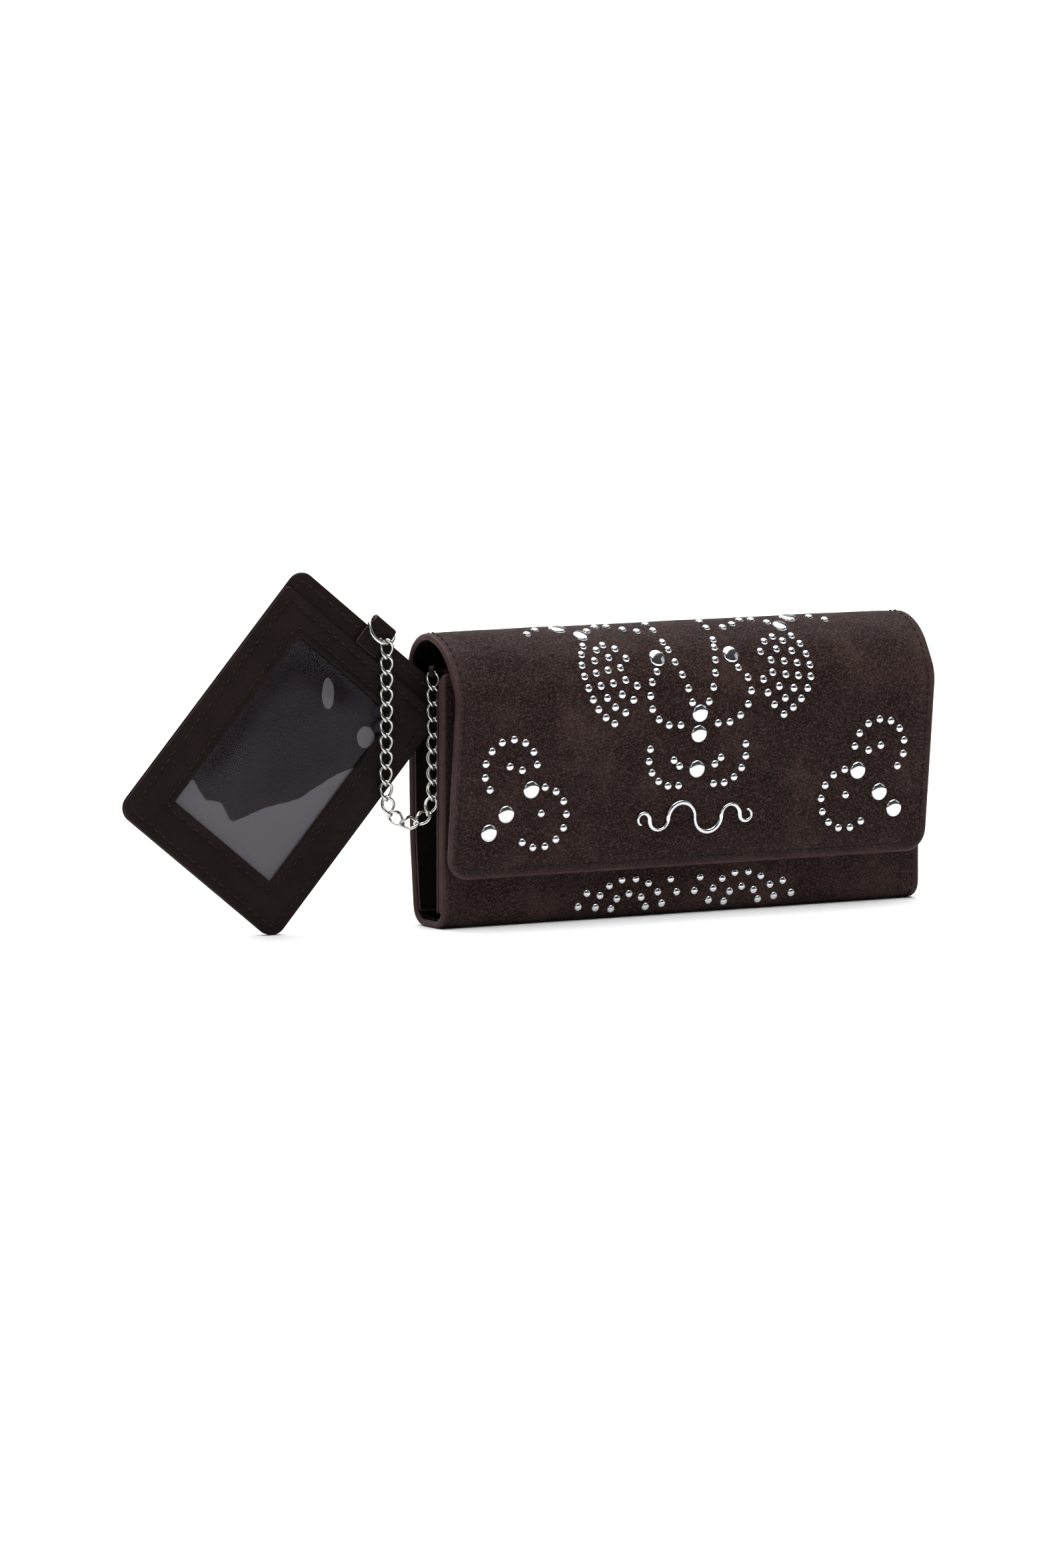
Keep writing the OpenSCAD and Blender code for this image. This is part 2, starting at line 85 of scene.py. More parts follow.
# ---------------------------------------------------------------- materials
class Look:
    """A node material. Keyword arguments are constants on the Principled shader's own sockets."""

    def __init__(self, name, **sockets):
        self.material = bpy.data.materials.new(name)
        self.material.use_nodes = True
        self.tree = self.material.node_tree
        self.shader = self.tree.nodes["Principled BSDF"]
        for socket, value in sockets.items():
            self.shader.inputs[socket.replace("_", " ")].default_value = value
        self.coords = self.node("ShaderNodeTexCoord").outputs["Object"]

    def node(self, kind, **settings):
        made = self.tree.nodes.new(kind)
        for key, value in settings.items():
            setattr(made, key, value)
        return made

    def link(self, source, target):
        self.tree.links.new(source, target)

    def stretched(self, scale):
        mapping = self.node("ShaderNodeMapping")
        mapping.inputs["Scale"].default_value = scale
        self.link(self.coords, mapping.inputs["Vector"])
        return mapping.outputs["Vector"]

    def noise(self, scale, detail=2.0, rough=0.5, stretch=None):
        made = self.node("ShaderNodeTexNoise")
        made.inputs["Scale"].default_value = scale
        made.inputs["Detail"].default_value = detail
        made.inputs["Roughness"].default_value = rough
        self.link(self.stretched(stretch) if stretch else self.coords, made.inputs["Vector"])
        return made.outputs["Fac"]

    def cells(self, scale):
        made = self.node("ShaderNodeTexVoronoi")
        made.inputs["Scale"].default_value = scale
        self.link(self.coords, made.inputs["Vector"])
        return made.outputs["Distance"]

    def weave(self, scale, direction):
        made = self.node("ShaderNodeTexWave", bands_direction=direction)
        made.inputs["Scale"].default_value = scale
        made.inputs["Distortion"].default_value = 0.6
        self.link(self.coords, made.inputs["Vector"])
        return made.outputs["Fac"]

    def point_value(self, name):
        return self.node("ShaderNodeAttribute", attribute_name=name).outputs["Fac"]

    def ramp(self, factor, *stops):
        made = self.node("ShaderNodeValToRGB")
        while len(made.color_ramp.elements) < len(stops):
            made.color_ramp.elements.new(0.5)
        for element, (place, colour) in zip(made.color_ramp.elements, stops):
            element.position = place
            element.color = (*colour, 1) if len(colour) == 3 else (colour[0],) * 3 + (1,)
        self.link(factor, made.inputs["Fac"])
        return made.outputs["Color"]

    def math(self, operation, a, b):
        made = self.node("ShaderNodeMath", operation=operation)
        for socket, value in zip(made.inputs, (a, b)):
            if isinstance(value, (int, float)):
                socket.default_value = value
            else:
                self.link(value, socket)
        return made.outputs[0]

    def mix(self, factor, a, b):
        made = self.node("ShaderNodeMix", data_type="RGBA")
        for socket, value in ((made.inputs[0], factor), (made.inputs[6], a), (made.inputs[7], b)):
            if isinstance(value, tuple):
                socket.default_value = (*value, 1)
            elif isinstance(value, float):
                socket.default_value = value
            else:
                self.link(value, socket)
        return made.outputs[2]

    def colour(self, source):
        self.link(source, self.shader.inputs["Base Color"])

    def roughness(self, factor, low, high):
        self.link(self.ramp(factor, (0.3, (low,)), (0.7, (high,))), self.shader.inputs["Roughness"])

    def bump(self, *layers):
        """Each layer is (height, strength, distance in millimetres)."""
        normal = None
        for height, strength, distance in layers:
            made = self.node("ShaderNodeBump")
            made.inputs["Strength"].default_value = strength
            made.inputs["Distance"].default_value = distance * MM
            self.link(height, made.inputs["Height"])
            if normal is not None:
                self.link(normal, made.inputs["Normal"])
            normal = made.outputs["Normal"]
        self.link(normal, self.shader.inputs["Normal"])


def nubuck():
    """Mottled suede-like brown: cloudy patches, fine speckle, paler where it is rubbed near the edges."""
    look = Look("nubuck", Specular_IOR_Level=0.04, Sheen_Weight=0.07, Sheen_Roughness=0.3)
    clouds = look.ramp(look.noise(40, 6, 0.66), (0.34, (0.0070, 0.0032, 0.0032)),
                       (0.50, (0.0125, 0.0062, 0.0060)), (0.70, (0.034, 0.0190, 0.0170)))
    speckle = look.ramp(look.noise(1500, 3, 0.7), (0.46, (0.0,)), (0.70, (1.0,)))
    speckled = look.mix(look.math("MULTIPLY", speckle, 0.50), clouds, (0.120, 0.080, 0.068))
    pores = look.ramp(look.noise(900, 4, 0.75), (0.30, (1.0,)), (0.46, (0.0,)))
    pitted = look.mix(look.math("MULTIPLY", pores, 0.6), speckled, (0.008, 0.005, 0.005))
    rub = look.ramp(look.point_value("inset"), (0.0, (1.0,)), (0.035, (0.25,)), (0.09, (0.0,)))
    rubbed = look.math("MULTIPLY", rub, look.noise(160, 4, 0.7))
    look.colour(look.mix(rubbed, pitted, (0.060, 0.036, 0.033)))
    look.roughness(look.noise(300, 3), 0.46, 0.66)
    look.bump((look.noise(420, 4, 0.6), 0.35, 0.16), (look.cells(1700), 0.28, 0.07),
              (look.noise(3600, 2), 0.4, 0.05))
    return look.material


def grain_leather(name, dark, light, rough):
    """Smooth coated leather with a fine pebble grain."""
    look = Look(name, Specular_IOR_Level=0.05)
    look.colour(look.ramp(look.noise(70, 4, 0.6), (0.3, dark), (0.72, light)))
    look.roughness(look.noise(260, 3), rough, rough + 0.14)
    look.bump((look.cells(1250), 0.30, 0.08), (look.noise(620, 3, 0.6), 0.30, 0.09))
    return look.material


def edge_paint():
    """Thick paint on the cut edge of leather, smooth with a few soft ripples."""
    look = Look("edge_paint", Specular_IOR_Level=0.08)
    dark, light = (0.040, 0.0225, 0.0215), (0.062, 0.037, 0.035)
    look.colour(look.ramp(look.noise(130, 4, 0.6), (0.3, dark), (0.72, light)))
    look.roughness(look.noise(200, 2), 0.46, 0.62)
    look.bump((look.noise(210, 3, 0.6), 0.35, 0.22), (look.noise(1100, 2), 0.25, 0.05))
    return look.material


def woven(name, dark, light, threads):
    """Plain weave of two sets of threads, crossing at right angles."""
    look = Look(name, Specular_IOR_Level=0.02)
    across = look.math("MULTIPLY", look.weave(threads, "X"), look.weave(threads, "Z"))
    look.colour(look.mix(look.noise(90, 4), look.ramp(across, (0.0, dark), (0.8, light)), dark))
    look.roughness(look.noise(300, 2), 0.72, 0.9)
    look.bump((across, 0.5, 0.12), (look.noise(1500, 2), 0.3, 0.05))
    return look.material


def plated(name, colour, rough, scratch):
    """Polished plating with faint polishing marks."""
    look = Look(name, Metallic=1.0)
    dull = tuple(channel * 0.86 for channel in colour)
    look.colour(look.ramp(look.noise(240, 3, 0.6), (0.3, dull), (0.65, colour)))
    look.roughness(look.noise(900, 4, 0.7), rough, rough + 0.09)
    look.bump((look.noise(2600, 2, 0.5, stretch=(1, 1, 0.2)), scratch, 0.012))
    return look.material


def vinyl():
    """Clear soft vinyl film, a little smoky, with painted reflection: a pale patch below its crease and two
    small painted glints near the top.
    """
    look = Look("vinyl", Specular_IOR_Level=0.3)
    ragged = look.math("MULTIPLY", look.math("SUBTRACT", look.noise(110, 3, 0.6), 0.5), 0.5)
    # painted reflection: the marked points get a pale colour and less transparency, with a ragged edge
    painted_reflection = look.ramp(look.math("ADD", look.point_value("painted_reflection"), ragged), (0.47, (0.0,)), (0.53, (1.0,)))
    clear = look.ramp(look.noise(30, 3), (0.3, (0.016, 0.010, 0.017)), (0.7, (0.034, 0.024, 0.036)))
    look.colour(look.mix(painted_reflection, clear, (0.128, 0.118, 0.136)))
    look.link(look.ramp(painted_reflection, (0.0, (0.30,)), (1.0, (0.62,))), look.shader.inputs["Alpha"])
    look.roughness(look.noise(60, 3, 0.6), 0.13, 0.19)
    look.bump((look.noise(35, 1, 0.3), 0.04, 0.5))
    return look.material


def sewing_thread():
    look = Look("sewing_thread", Specular_IOR_Level=0.2)
    look.colour(look.ramp(look.noise(900, 2), (0.3, (0.008, 0.0055, 0.005)), (0.7, (0.020, 0.014, 0.013))))
    look.roughness(look.noise(700, 2), 0.5, 0.7)
    look.bump((look.weave(2400, "DIAGONAL"), 0.5, 0.06))
    return look.material


NUBUCK = nubuck()
EDGE = edge_paint()
SMOOTH = grain_leather("smooth_leather", (0.0085, 0.0052, 0.0048), (0.0150, 0.0095, 0.0088), 0.40)
BOARD = grain_leather("board_leather", (0.034, 0.020, 0.019), (0.058, 0.035, 0.033), 0.50)
LINING = woven("lining_cloth", (0.0035, 0.0024, 0.0024), (0.014, 0.0095, 0.0092), 900)
TAPE = woven("zip_tape_cloth", (0.004, 0.0035, 0.0035), (0.020, 0.016, 0.015), 1400)
CHROME = plated("stud_chrome", (0.74, 0.75, 0.78), 0.07, 0.05)
NICKEL = plated("chain_nickel", (0.60, 0.59, 0.56), 0.12, 0.15)
STEEL = plated("zip_steel", (0.62, 0.61, 0.58), 0.22, 0.25)
VINYL = vinyl()
THREAD = sewing_thread()


# ---------------------------------------------------------------- mesh helpers
def node_points(node):
    """A CAD node's vertices, in millimetres."""
    return np.array([v.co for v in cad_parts[node].data.vertices]) / MM


def extent(node):
    """Lowest and highest corner of a CAD node's box, in millimetres."""
    low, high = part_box(node)
    return np.array(low) / MM, np.array(high) / MM


def joined(x, y, z):
    """Points from separate coordinates, which may be arrays or single numbers."""
    return np.stack(np.broadcast_arrays(x, y, z), -1)


def distances(line):
    """Distance along a line at each of its points."""
    return np.concatenate([[0], np.cumsum(np.linalg.norm(np.diff(line, axis=0), axis=1))])


def make_piece(name, points, faces, materials, face_slots=None, flat=None, values=None):
    """A smooth closed mesh from points in millimetres. flat marks the faces that stay flat shaded."""
    mesh = bpy.data.meshes.new(name)
    mesh.from_pydata((np.asarray(points, float) * MM).tolist(), [], [tuple(f) for f in faces])
    for material in materials:
        mesh.materials.append(material)
    if face_slots is not None:
        mesh.polygons.foreach_set("material_index", np.asarray(face_slots, np.int32))
    smooth = np.ones(len(mesh.polygons), bool) if flat is None else ~np.asarray(flat, bool)
    mesh.polygons.foreach_set("use_smooth", smooth)
    if values is not None:
        insets = mesh.attributes.new("inset", "FLOAT", "POINT")
        insets.data.foreach_set("value", np.asarray(values, np.float32))
    solid = bmesh.new()
    solid.from_mesh(mesh)
    bmesh.ops.recalc_face_normals(solid, faces=solid.faces)
    solid.to_mesh(mesh)
    solid.free()
    piece = bpy.data.objects.new(name, mesh)
    bpy.context.scene.collection.objects.link(piece)
    return piece


def settle(piece, slot, follow, *nodes):
    """follow is a body's name, which the piece is attached to, or (body, next body, start, end) with points
    in millimetres, whose contents are not used: the piece then keeps its place unattached.
    """
    if isinstance(follow, str):
        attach(piece, follow)
    else:
        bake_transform(piece)
    if nodes:
        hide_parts(*nodes)
    return piece


class Parts:
    """Several closed forms collected into one mesh."""

    def __init__(self):
        self.points = []
        self.faces = []

    def add(self, points, faces):
        start = len(self.points)
        self.points.extend(np.asarray(points, float).tolist())
        self.faces.extend([tuple(start + i for i in face) for face in faces])

    def piece(self, name, material):
        return make_piece(name, self.points, self.faces, [material])


def tube(path, widths, heights, ups, sides, closed=False):
    """Points and faces of a wire along path. Its section is an ellipse, width across and height along ups."""
    path = np.asarray(path, float)
    count = len(path)
    ahead = np.roll(path, -1, 0) - np.roll(path, 1, 0)
    if not closed:
        ahead[0] = path[1] - path[0]
        ahead[-1] = path[-1] - path[-2]
    ahead /= np.linalg.norm(ahead, axis=1)[:, None]
    ups = np.broadcast_to(np.asarray(ups, float), path.shape)
    side = np.cross(ahead, ups)
    side /= np.linalg.norm(side, axis=1)[:, None]
    up = np.cross(side, ahead)
    turn = np.arange(sides) * 2 * np.pi / sides
    widths = np.broadcast_to(widths, (count,))
    heights = np.broadcast_to(heights, (count,))
    rings = (path[:, None] + (widths[:, None] * np.cos(turn))[..., None] * side[:, None]
             + (heights[:, None] * np.sin(turn))[..., None] * up[:, None])
    points = rings.reshape(-1, 3)
    faces = []
    for i in range(count if closed else count - 1):
        here, there = i * sides, (i + 1) % count * sides
        for j in range(sides):
            k = (j + 1) % sides
            faces.append((here + j, here + k, there + k, there + j))
    if not closed:
        faces.append(tuple(range(sides)))
        faces.append(tuple(range((count - 1) * sides, count * sides)))
    return points, faces


def stacked(rings, first, last):
    """Points and faces of a form made of rings of points, with a single point at each end."""
    count = len(rings[0])
    points = [first, *(point for ring in rings for point in ring), last]
    end = len(points) - 1
    faces = []
    for j in range(count):
        k = (j + 1) % count
        faces.append((0, 1 + j, 1 + k))
        for ring in range(len(rings) - 1):
            a, b = 1 + ring * count, 1 + (ring + 1) * count
            faces.append((a + j, b + j, b + k, a + k))
        faces.append((end, end - count + k, end - count + j))
    return points, faces


def lathe(profile, centre, axis, segments=24):
    """Points and faces of a turned form. profile is (radius, height) pairs, and its ends lie on the axis."""
    axis = np.asarray(axis, float) / np.linalg.norm(axis)
    side = np.cross(axis, [1, 0, 0] if abs(axis[0]) < 0.8 else [0, 1, 0])
    side /= np.linalg.norm(side)
    other = np.cross(axis, side)
    turn = np.arange(segments) * 2 * np.pi / segments
    around = np.cos(turn)[:, None] * side + np.sin(turn)[:, None] * other
    centre = np.asarray(centre, float)
    rings = [centre + radius * around + height * axis for radius, height in profile[1:-1]]
    return stacked(rings, centre + profile[0][1] * axis, centre + profile[-1][1] * axis)


# A flat cut of leather: its sides in the sheet's own u and v, the corner radii at both ends, and
# whether an end is only a cut across a longer sheet
Area = namedtuple("Area", "u0 u1 v0 v1 r0 r1 cut0 cut1", defaults=(1.0, 1.0, False, False))
FINE = np.array([0, 0.1, 0.3, 0.6, 1.0, 1.5, 2.1, 2.7, 3.2, 3.8, 4.6, 5.8])
CUT = np.array([0, 0.25, 0.6, 1.2])


def stations(low, high, step, cut_low=False, cut_high=False, extra=()):
    """Grid lines from low to high, close together where an edge shows."""
    room = (high - low) / 2 - 0.3
    start = CUT if cut_low else FINE
    end = CUT if cut_high else FINE
    start, end = start[start < room], end[end < room]
    inner = np.linspace(low + start[-1], high - end[-1], max(2, int((high - low) / step)))
    found = np.concatenate([low + start, inner, high - end, np.asarray(extra, float)])
    return np.unique(np.round(found, 3))


def round_corners(area, u, v):
    """Moves a square grid so that its corners follow the corner radii."""
    middle, half = (area.u0 + area.u1) / 2, (area.u1 - area.u0) / 2
    for cut, radius, end, sign in ((area.cut0, area.r0, area.v0, -1), (area.cut1, area.r1, area.v1, 1)):
        if cut:
            continue
        a = np.clip((np.abs(u - middle) - (half - radius)) / radius, 0, 1)
        b = np.clip(1 - sign * (end - v) / radius, 0, 1)
        u = u + np.sign(u - middle) * radius * a * (np.sqrt(1 - b * b / 2) - 1)
        v = v + sign * radius * b * (np.sqrt(1 - a * a / 2) - 1)
    return u, v


def inset_of(area, u, v):
    """How far a point lies inside the area's edge."""
    side = np.minimum(u - area.u0, area.u1 - u)
    found = side
    for cut, radius, end in ((area.cut0, area.r0, v - area.v0), (area.cut1, area.r1, area.v1 - v)):
        if not cut:
            corner = radius - np.hypot(np.clip(radius - side, 0, None), np.clip(radius - end, 0, None))
            found = np.minimum(found, np.where((side < radius) & (end < radius), corner, end))
    return np.clip(found, 0, None)


def rounding(inset, radius):
    """How far a round edge drops below the face."""
    return radius * (1 - np.sqrt(1 - (1 - np.clip(inset / radius, 0, 1)) ** 2))


def groove(distance, depth, width=0.6):
    """Depth of a soft pressed line at a distance from its middle."""
    return depth * np.exp(-(distance / width) ** 2)


def ripple(u, v, size):
    """Soft unevenness of worked leather."""
    wave = np.sin(u * 0.11 + 1.3) * np.sin(v * 0.17 + 0.4) + 0.6 * np.sin(u * 0.23 - v * 0.13)
    return size * (wave + 0.4 * np.sin(u * 0.05 + v * 0.31))


def panel(name, area, thick, place, materials, step=2.5, relief=None, hole=None, paint=1.0):
    """A leather panel with round painted edges. place(u, v, depth) puts a point of it in the row frame.
    relief(u, v, inset, rim) is how deep the face is pressed in; rim is the distance from the hole.
    materials are the face's, the edge's and the back's."""
    near = np.array([0, 0.1, 0.3, 0.6, 1.0, 1.5, 2.2, 3.0])
    extra_u = np.concatenate([hole[0] - near, hole[1] + near]) if hole else ()
    extra_v = np.concatenate([hole[2] - near, hole[3] + near]) if hole else ()
    us = stations(area.u0, area.u1, step, extra=extra_u)
    vs = stations(area.v0, area.v1, step, area.cut0, area.cut1, extra_v)
    u, v = round_corners(area, *np.meshgrid(us, vs, indexing="ij"))
    inset = inset_of(area, u, v)
    rim = np.full_like(u, 99.0)
    if hole:
        rim = np.hypot(np.maximum(np.maximum(hole[0] - u, u - hole[1]), 0),
                       np.maximum(np.maximum(hole[2] - v, v - hole[3]), 0))
    nearest = np.minimum(inset, rim)
    depth = thick(v) if callable(thick) else np.full_like(u, thick)
    edge = rounding(nearest, depth / 2)
    pressed = relief(u, v, inset, rim) if relief else 0
    pressed = pressed * np.clip(nearest / 0.6, 0, 1)
    top = place(u, v, edge + pressed)
    under = place(u, v, depth - edge)
    rows, columns = u.shape
    shared = nearest < 1e-6
    number = np.arange(rows * columns).reshape(rows, columns)
    below = np.where(shared, number, number + rows * columns)
    points = np.concatenate([top.reshape(-1, 3), under.reshape(-1, 3)])
    faces, slots, flats = [], [], []
    for i in range(rows - 1):
        for j in range(columns - 1):
            centre_u, centre_v = u[i:i + 2, j:j + 2].mean(), v[i:i + 2, j:j + 2].mean()
            if hole and hole[0] < centre_u < hole[1] and hole[2] < centre_v < hole[3]:
                continue
            painted = nearest[i:i + 2, j:j + 2].mean() < paint
            for grid, slot in ((number, 0), (below, 2)):
                faces.append((grid[i, j], grid[i + 1, j], grid[i + 1, j + 1], grid[i, j + 1]))
                slots.append(1 if painted else slot)
                flats.append(False)
    for cut, j in ((area.cut0, 0), (area.cut1, columns - 1)):
        for i in range(rows - 1) if cut else ():
            face = (number[i, j], number[i + 1, j], below[i + 1, j], below[i, j])
            faces.append(tuple(dict.fromkeys(face)))
            slots.append(2)
            flats.append(True)
    used = np.unique(np.concatenate([np.array(f) for f in faces]))
    renumber = np.full(len(points), -1)
    renumber[used] = np.arange(len(used))
    insets = np.concatenate([nearest.ravel(), nearest.ravel()])[used]
    return make_piece(name, points[used], [tuple(renumber[list(f)]) for f in faces], materials,
                      slots, flats, np.clip(insets / 100, 0, 1))


def seam_lines(area, inset):
    """Lines that run round an area at an inset: open where the area is cut."""
    low = area.v0 if area.cut0 else area.v0 + inset
    high = area.v1 if area.cut1 else area.v1 - inset
    left, right = area.u0 + inset, area.u1 - inset
    r0, r1 = max(area.r0 - inset, 0.3), max(area.r1 - inset, 0.3)

    def corner(u, v, radius, start):
        turn = np.radians(np.linspace(start, start - 90, 7))
        return [(u + radius * np.cos(t), v + radius * np.sin(t)) for t in turn]

    up = [(left, low if area.cut0 else low + r0), (left, high if area.cut1 else high - r1)]
    down = [(right, high if area.cut1 else high - r1), (right, low if area.cut0 else low + r0)]
    over = corner(left + r1, high - r1, r1, 180) + corner(right - r1, high - r1, r1, 90)
    back = corner(right - r0, low + r0, r0, 0) + corner(left + r0, low + r0, r0, -90)
    if area.cut0 and area.cut1:
        return [up, down]
    if area.cut0:
        return [up + over + down]
    return [up + over + down + back]


def stitches(name, lines, place, follow, slot, pitch=3.2, length=2.3, thread=0.27, depth=0.0):
    """Sewing thread along lines of (u, v) points: each stitch rises a little and dives in at both ends."""
    parts = Parts()
    for line in lines:
        line = np.asarray(line, float)
        run = distances(line)
        for middle in np.arange(pitch / 2, run[-1], pitch):
            along = middle + np.linspace(-0.5, 0.5, 7) * length
            along = np.clip(along, 0, run[-1])
            u, v = np.interp(along, run, line[:, 0]), np.interp(along, run, line[:, 1])
            lift = depth + np.array([0.30, 0.02, -0.12, -0.16, -0.12, 0.02, 0.30])
            path = place(u, v, lift)
            outward = place(u, v, lift - 1) - path
            radius = thread * np.array([0.45, 0.9, 1, 1, 1, 0.9, 0.45])
            parts.add(*tube(path, radius, radius, outward, 6))
    return settle(parts.piece(name, THREAD), slot, follow)


# ---------------------------------------------------------------- the wallet's sheet
HALF_W = 97.3
BODY_T = 2.4
FLAP_T = 2.8
FLAP_CORNER_R = 8.0
SEAM = 3.1
FLAP_LEAN = np.radians(6)


def arc(centre, radius, start, end):
    """Points on an arc as (y, z, normal angle), two degrees apart."""
    angles = np.linspace(start, end, int(abs(end - start) / 2) + 2)
    turn = np.radians(angles)
    return list(zip(centre[0] + radius * np.cos(turn), centre[1] + radius * np.sin(turn), angles))


def sheet_profile():
    """Outer surface of the sheet, seen from the end, from the mouth at the front to the hem of the flap."""
    front_y, mouth_z, back_y, top_z = -10.6, 88.0, 14.0, 101.0
    crown_r, brow_r, cheek_r, temple = 12.5, 22.0, 14.0, 6.0
    crown = np.array([back_y - crown_r, top_z - crown_r])
    direction = lambda n: np.array([np.cos(np.radians(n)), np.sin(np.radians(n))])
    brow = crown + (crown_r - brow_r) * direction(460)
    brow_end = brow + brow_r * direction(510)
    cheek_start = brow_end + temple * direction(600)
    cheek = cheek_start - cheek_r * direction(510)
    cheek_end = cheek + cheek_r * direction(546)
    hem_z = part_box("flap_skin")[0].z / MM
    fall = direction(636)
    hem = cheek_end + fall * (hem_z - cheek_end[1]) / fall[1]
    points = [(front_y, mouth_z, 180), *arc((front_y + 6, 6), 6, 180, 270), *arc((3.6, 7), 7, 270, 352),
              (12.9, 30, 356.7), *arc(crown, crown_r, 360, 460), *arc(brow, brow_r, 462, 510),
              *arc(cheek, cheek_r, 510, 546), (*hem, 546)]
    return np.array(points)


PROFILE = sheet_profile()
RUN = distances(PROFILE[:, :2])
LENGTH = RUN[-1]


def at_angle(n):
    """Distance along the sheet to where its outward normal has turned to n degrees."""
    return float(np.interp(n, PROFILE[:, 2] + np.arange(len(PROFILE)) * 1e-7, RUN))


def on_sheet(u, v, depth):
    """A point of the sheet: u across, v along the profile, depth under the outer surface.
    Its underside is pressed flat on the floor."""
    y, z, n = (np.interp(v, RUN, PROFILE[:, i]) for i in range(3))
    turn = np.radians(n)
    above = np.maximum(z - depth * np.sin(turn), 0)
    return joined(u, y - depth * np.cos(turn), above)


# Hinge lines and cuts lie where the sheet's outward normal has turned to these angles
HINGES = [at_angle(n) for n in (368, 430, 488)]
BACK_CUT = at_angle(360) - 18
FOLD_CUTS = [at_angle(399), at_angle(459)]
BEND = 6.0
BODIES = ["wallet", "fold_1", "fold_2", "flap"]


def bend_at(hinge):
    """The bodies to each side of a hinge line, and the points a few millimetres to each side of it on the
    outer surface.
    """
    start, end = (on_sheet(0.0, HINGES[hinge] + side * BEND, 0.0) for side in (-1, 1))
    return BODIES[hinge], BODIES[hinge + 1], start, end


def sheet_relief(u, v, inset, rim):
    """A pressed seam line, soft padding inside it, and the unevenness of worked leather."""
    padding = 0.22 * (1 - np.exp(-np.clip(inset - SEAM, 0, None) / 5))
    return groove(inset - SEAM, 0.20) - padding + ripple(u, v, 0.05)


def sheet_thickness(v):
    share = np.clip((v - HINGES[2]) / 8, 0, 1)
    return BODY_T + (FLAP_T - BODY_T) * share


def make_sheet():
    mouth = Area(-HALF_W, HALF_W, 0, BACK_CUT, 2.5, 0, False, True)
    back = Area(-HALF_W, HALF_W, BACK_CUT, FOLD_CUTS[0], 0, 0, True, True)
    top = Area(-HALF_W, HALF_W, FOLD_CUTS[0], FOLD_CUTS[1], 0, 0, True, True)
    flap = Area(-HALF_W, HALF_W, FOLD_CUTS[1], LENGTH, 0, FLAP_CORNER_R, True, False)
    looks = [NUBUCK, EDGE, LINING]
    rows = (("body_leather", mouth, "wallet", ("outer_cover", "body_lining")),
            ("arch_back_leather", back, bend_at(0), ("fold_1_skin", "fold_1_lining")),
            ("arch_top_leather", top, bend_at(1), ("fold_2_skin", "fold_2_lining")),
            ("flap_leather", flap, bend_at(2), ("flap_skin", "flap_lining")))
    for name, area, follow, nodes in rows:
        made = panel(name, area, sheet_thickness, on_sheet, looks, 2.2, sheet_relief)
        settle(made, "suede_leather", follow, *nodes)
        stitch_area = area
        if name == "body_leather":
            stitch_area = area._replace(cut0=True, v0=2.0)
        stitches(name.replace("leather", "stitching"), seam_lines(stitch_area, SEAM), on_sheet, follow,
                 "suede_leather", depth=0.05)


def make_inner_stitching():
    """The same seams seen on the lining, inside the back of the body."""
    area = Area(-HALF_W, HALF_W, 0, BACK_CUT, 0, 0, True, True)
    inner = lambda u, v, depth: on_sheet(u, v, BODY_T - depth)
    stitches("inner_stitching", seam_lines(area, SEAM), inner, "wallet", "lining", depth=0.05)


make_sheet()
make_inner_stitching()


# ---------------------------------------------------------------- studs
def welded_islands(node):
    """The separate solids of a CAD node, each as its points in millimetres."""
    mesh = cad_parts[node].data
    keys, where = np.unique(np.round(node_points(node), 3), axis=0, return_inverse=True)
    where = where.ravel()
    parent = list(range(len(keys)))

    def root(i):
        while parent[i] != i:
            parent[i] = parent[parent[i]]
            i = parent[i]
        return i

    for polygon in mesh.polygons:
        first = root(where[polygon.vertices[0]])
        for other in polygon.vertices[1:]:
            parent[root(where[other])] = first
    groups = {}
    for i in range(len(keys)):
        groups.setdefault(root(i), []).append(keys[i])
    return [np.array(group) for group in groups.values()]


def stud_seat(points):
    """Centre of a stud's base, its outward direction and its radius, from the CAD stud."""
    middle = points.mean(0)
    axis = np.linalg.svd(points - middle)[2][2]
    height = (points - middle) @ axis
    radial = np.linalg.norm(points - middle - np.outer(height, axis), axis=1)
    if height[radial > radial.max() * 0.9].mean() > 0:
        axis, height = -axis, -height
    return middle + axis * height.min(), axis, radial.max()


# Height over radius, from the leather up
SMALL_DOME = [(0, -0.2), (0.98, -0.2), (1.02, 0.0), (1.0, 0.12), (0.95, 0.27), (0.85, 0.42), (0.70, 0.55),
              (0.52, 0.64), (0.32, 0.70), (0.14, 0.725), (0, 0.73)]
LARGE_DOME = [(0, -0.1), (0.98, -0.1), (1.01, 0.02), (1.0, 0.10), (0.96, 0.18), (0.88, 0.255), (0.76, 0.31),
              (0.60, 0.35), (0.42, 0.375), (0.22, 0.39), (0, 0.395)]


def domes(name, node, follow):
    parts = Parts()
    for points in welded_islands(node):
        centre, axis, radius = stud_seat(points)
        shape = LARGE_DOME if radius > 2.4 else SMALL_DOME
        parts.add(*lathe([(r * radius, h * radius) for r, h in shape], centre, axis))
    settle(parts.piece(name, CHROME), "chrome", follow, node)


domes("arch_domes", "fold_2_studs", bend_at(2))
domes("flap_small_domes", "flap_small_studs", bend_at(2))
domes("flap_large_domes", "flap_large_studs", bend_at(2))
domes("body_domes", "body_studs", "wallet")


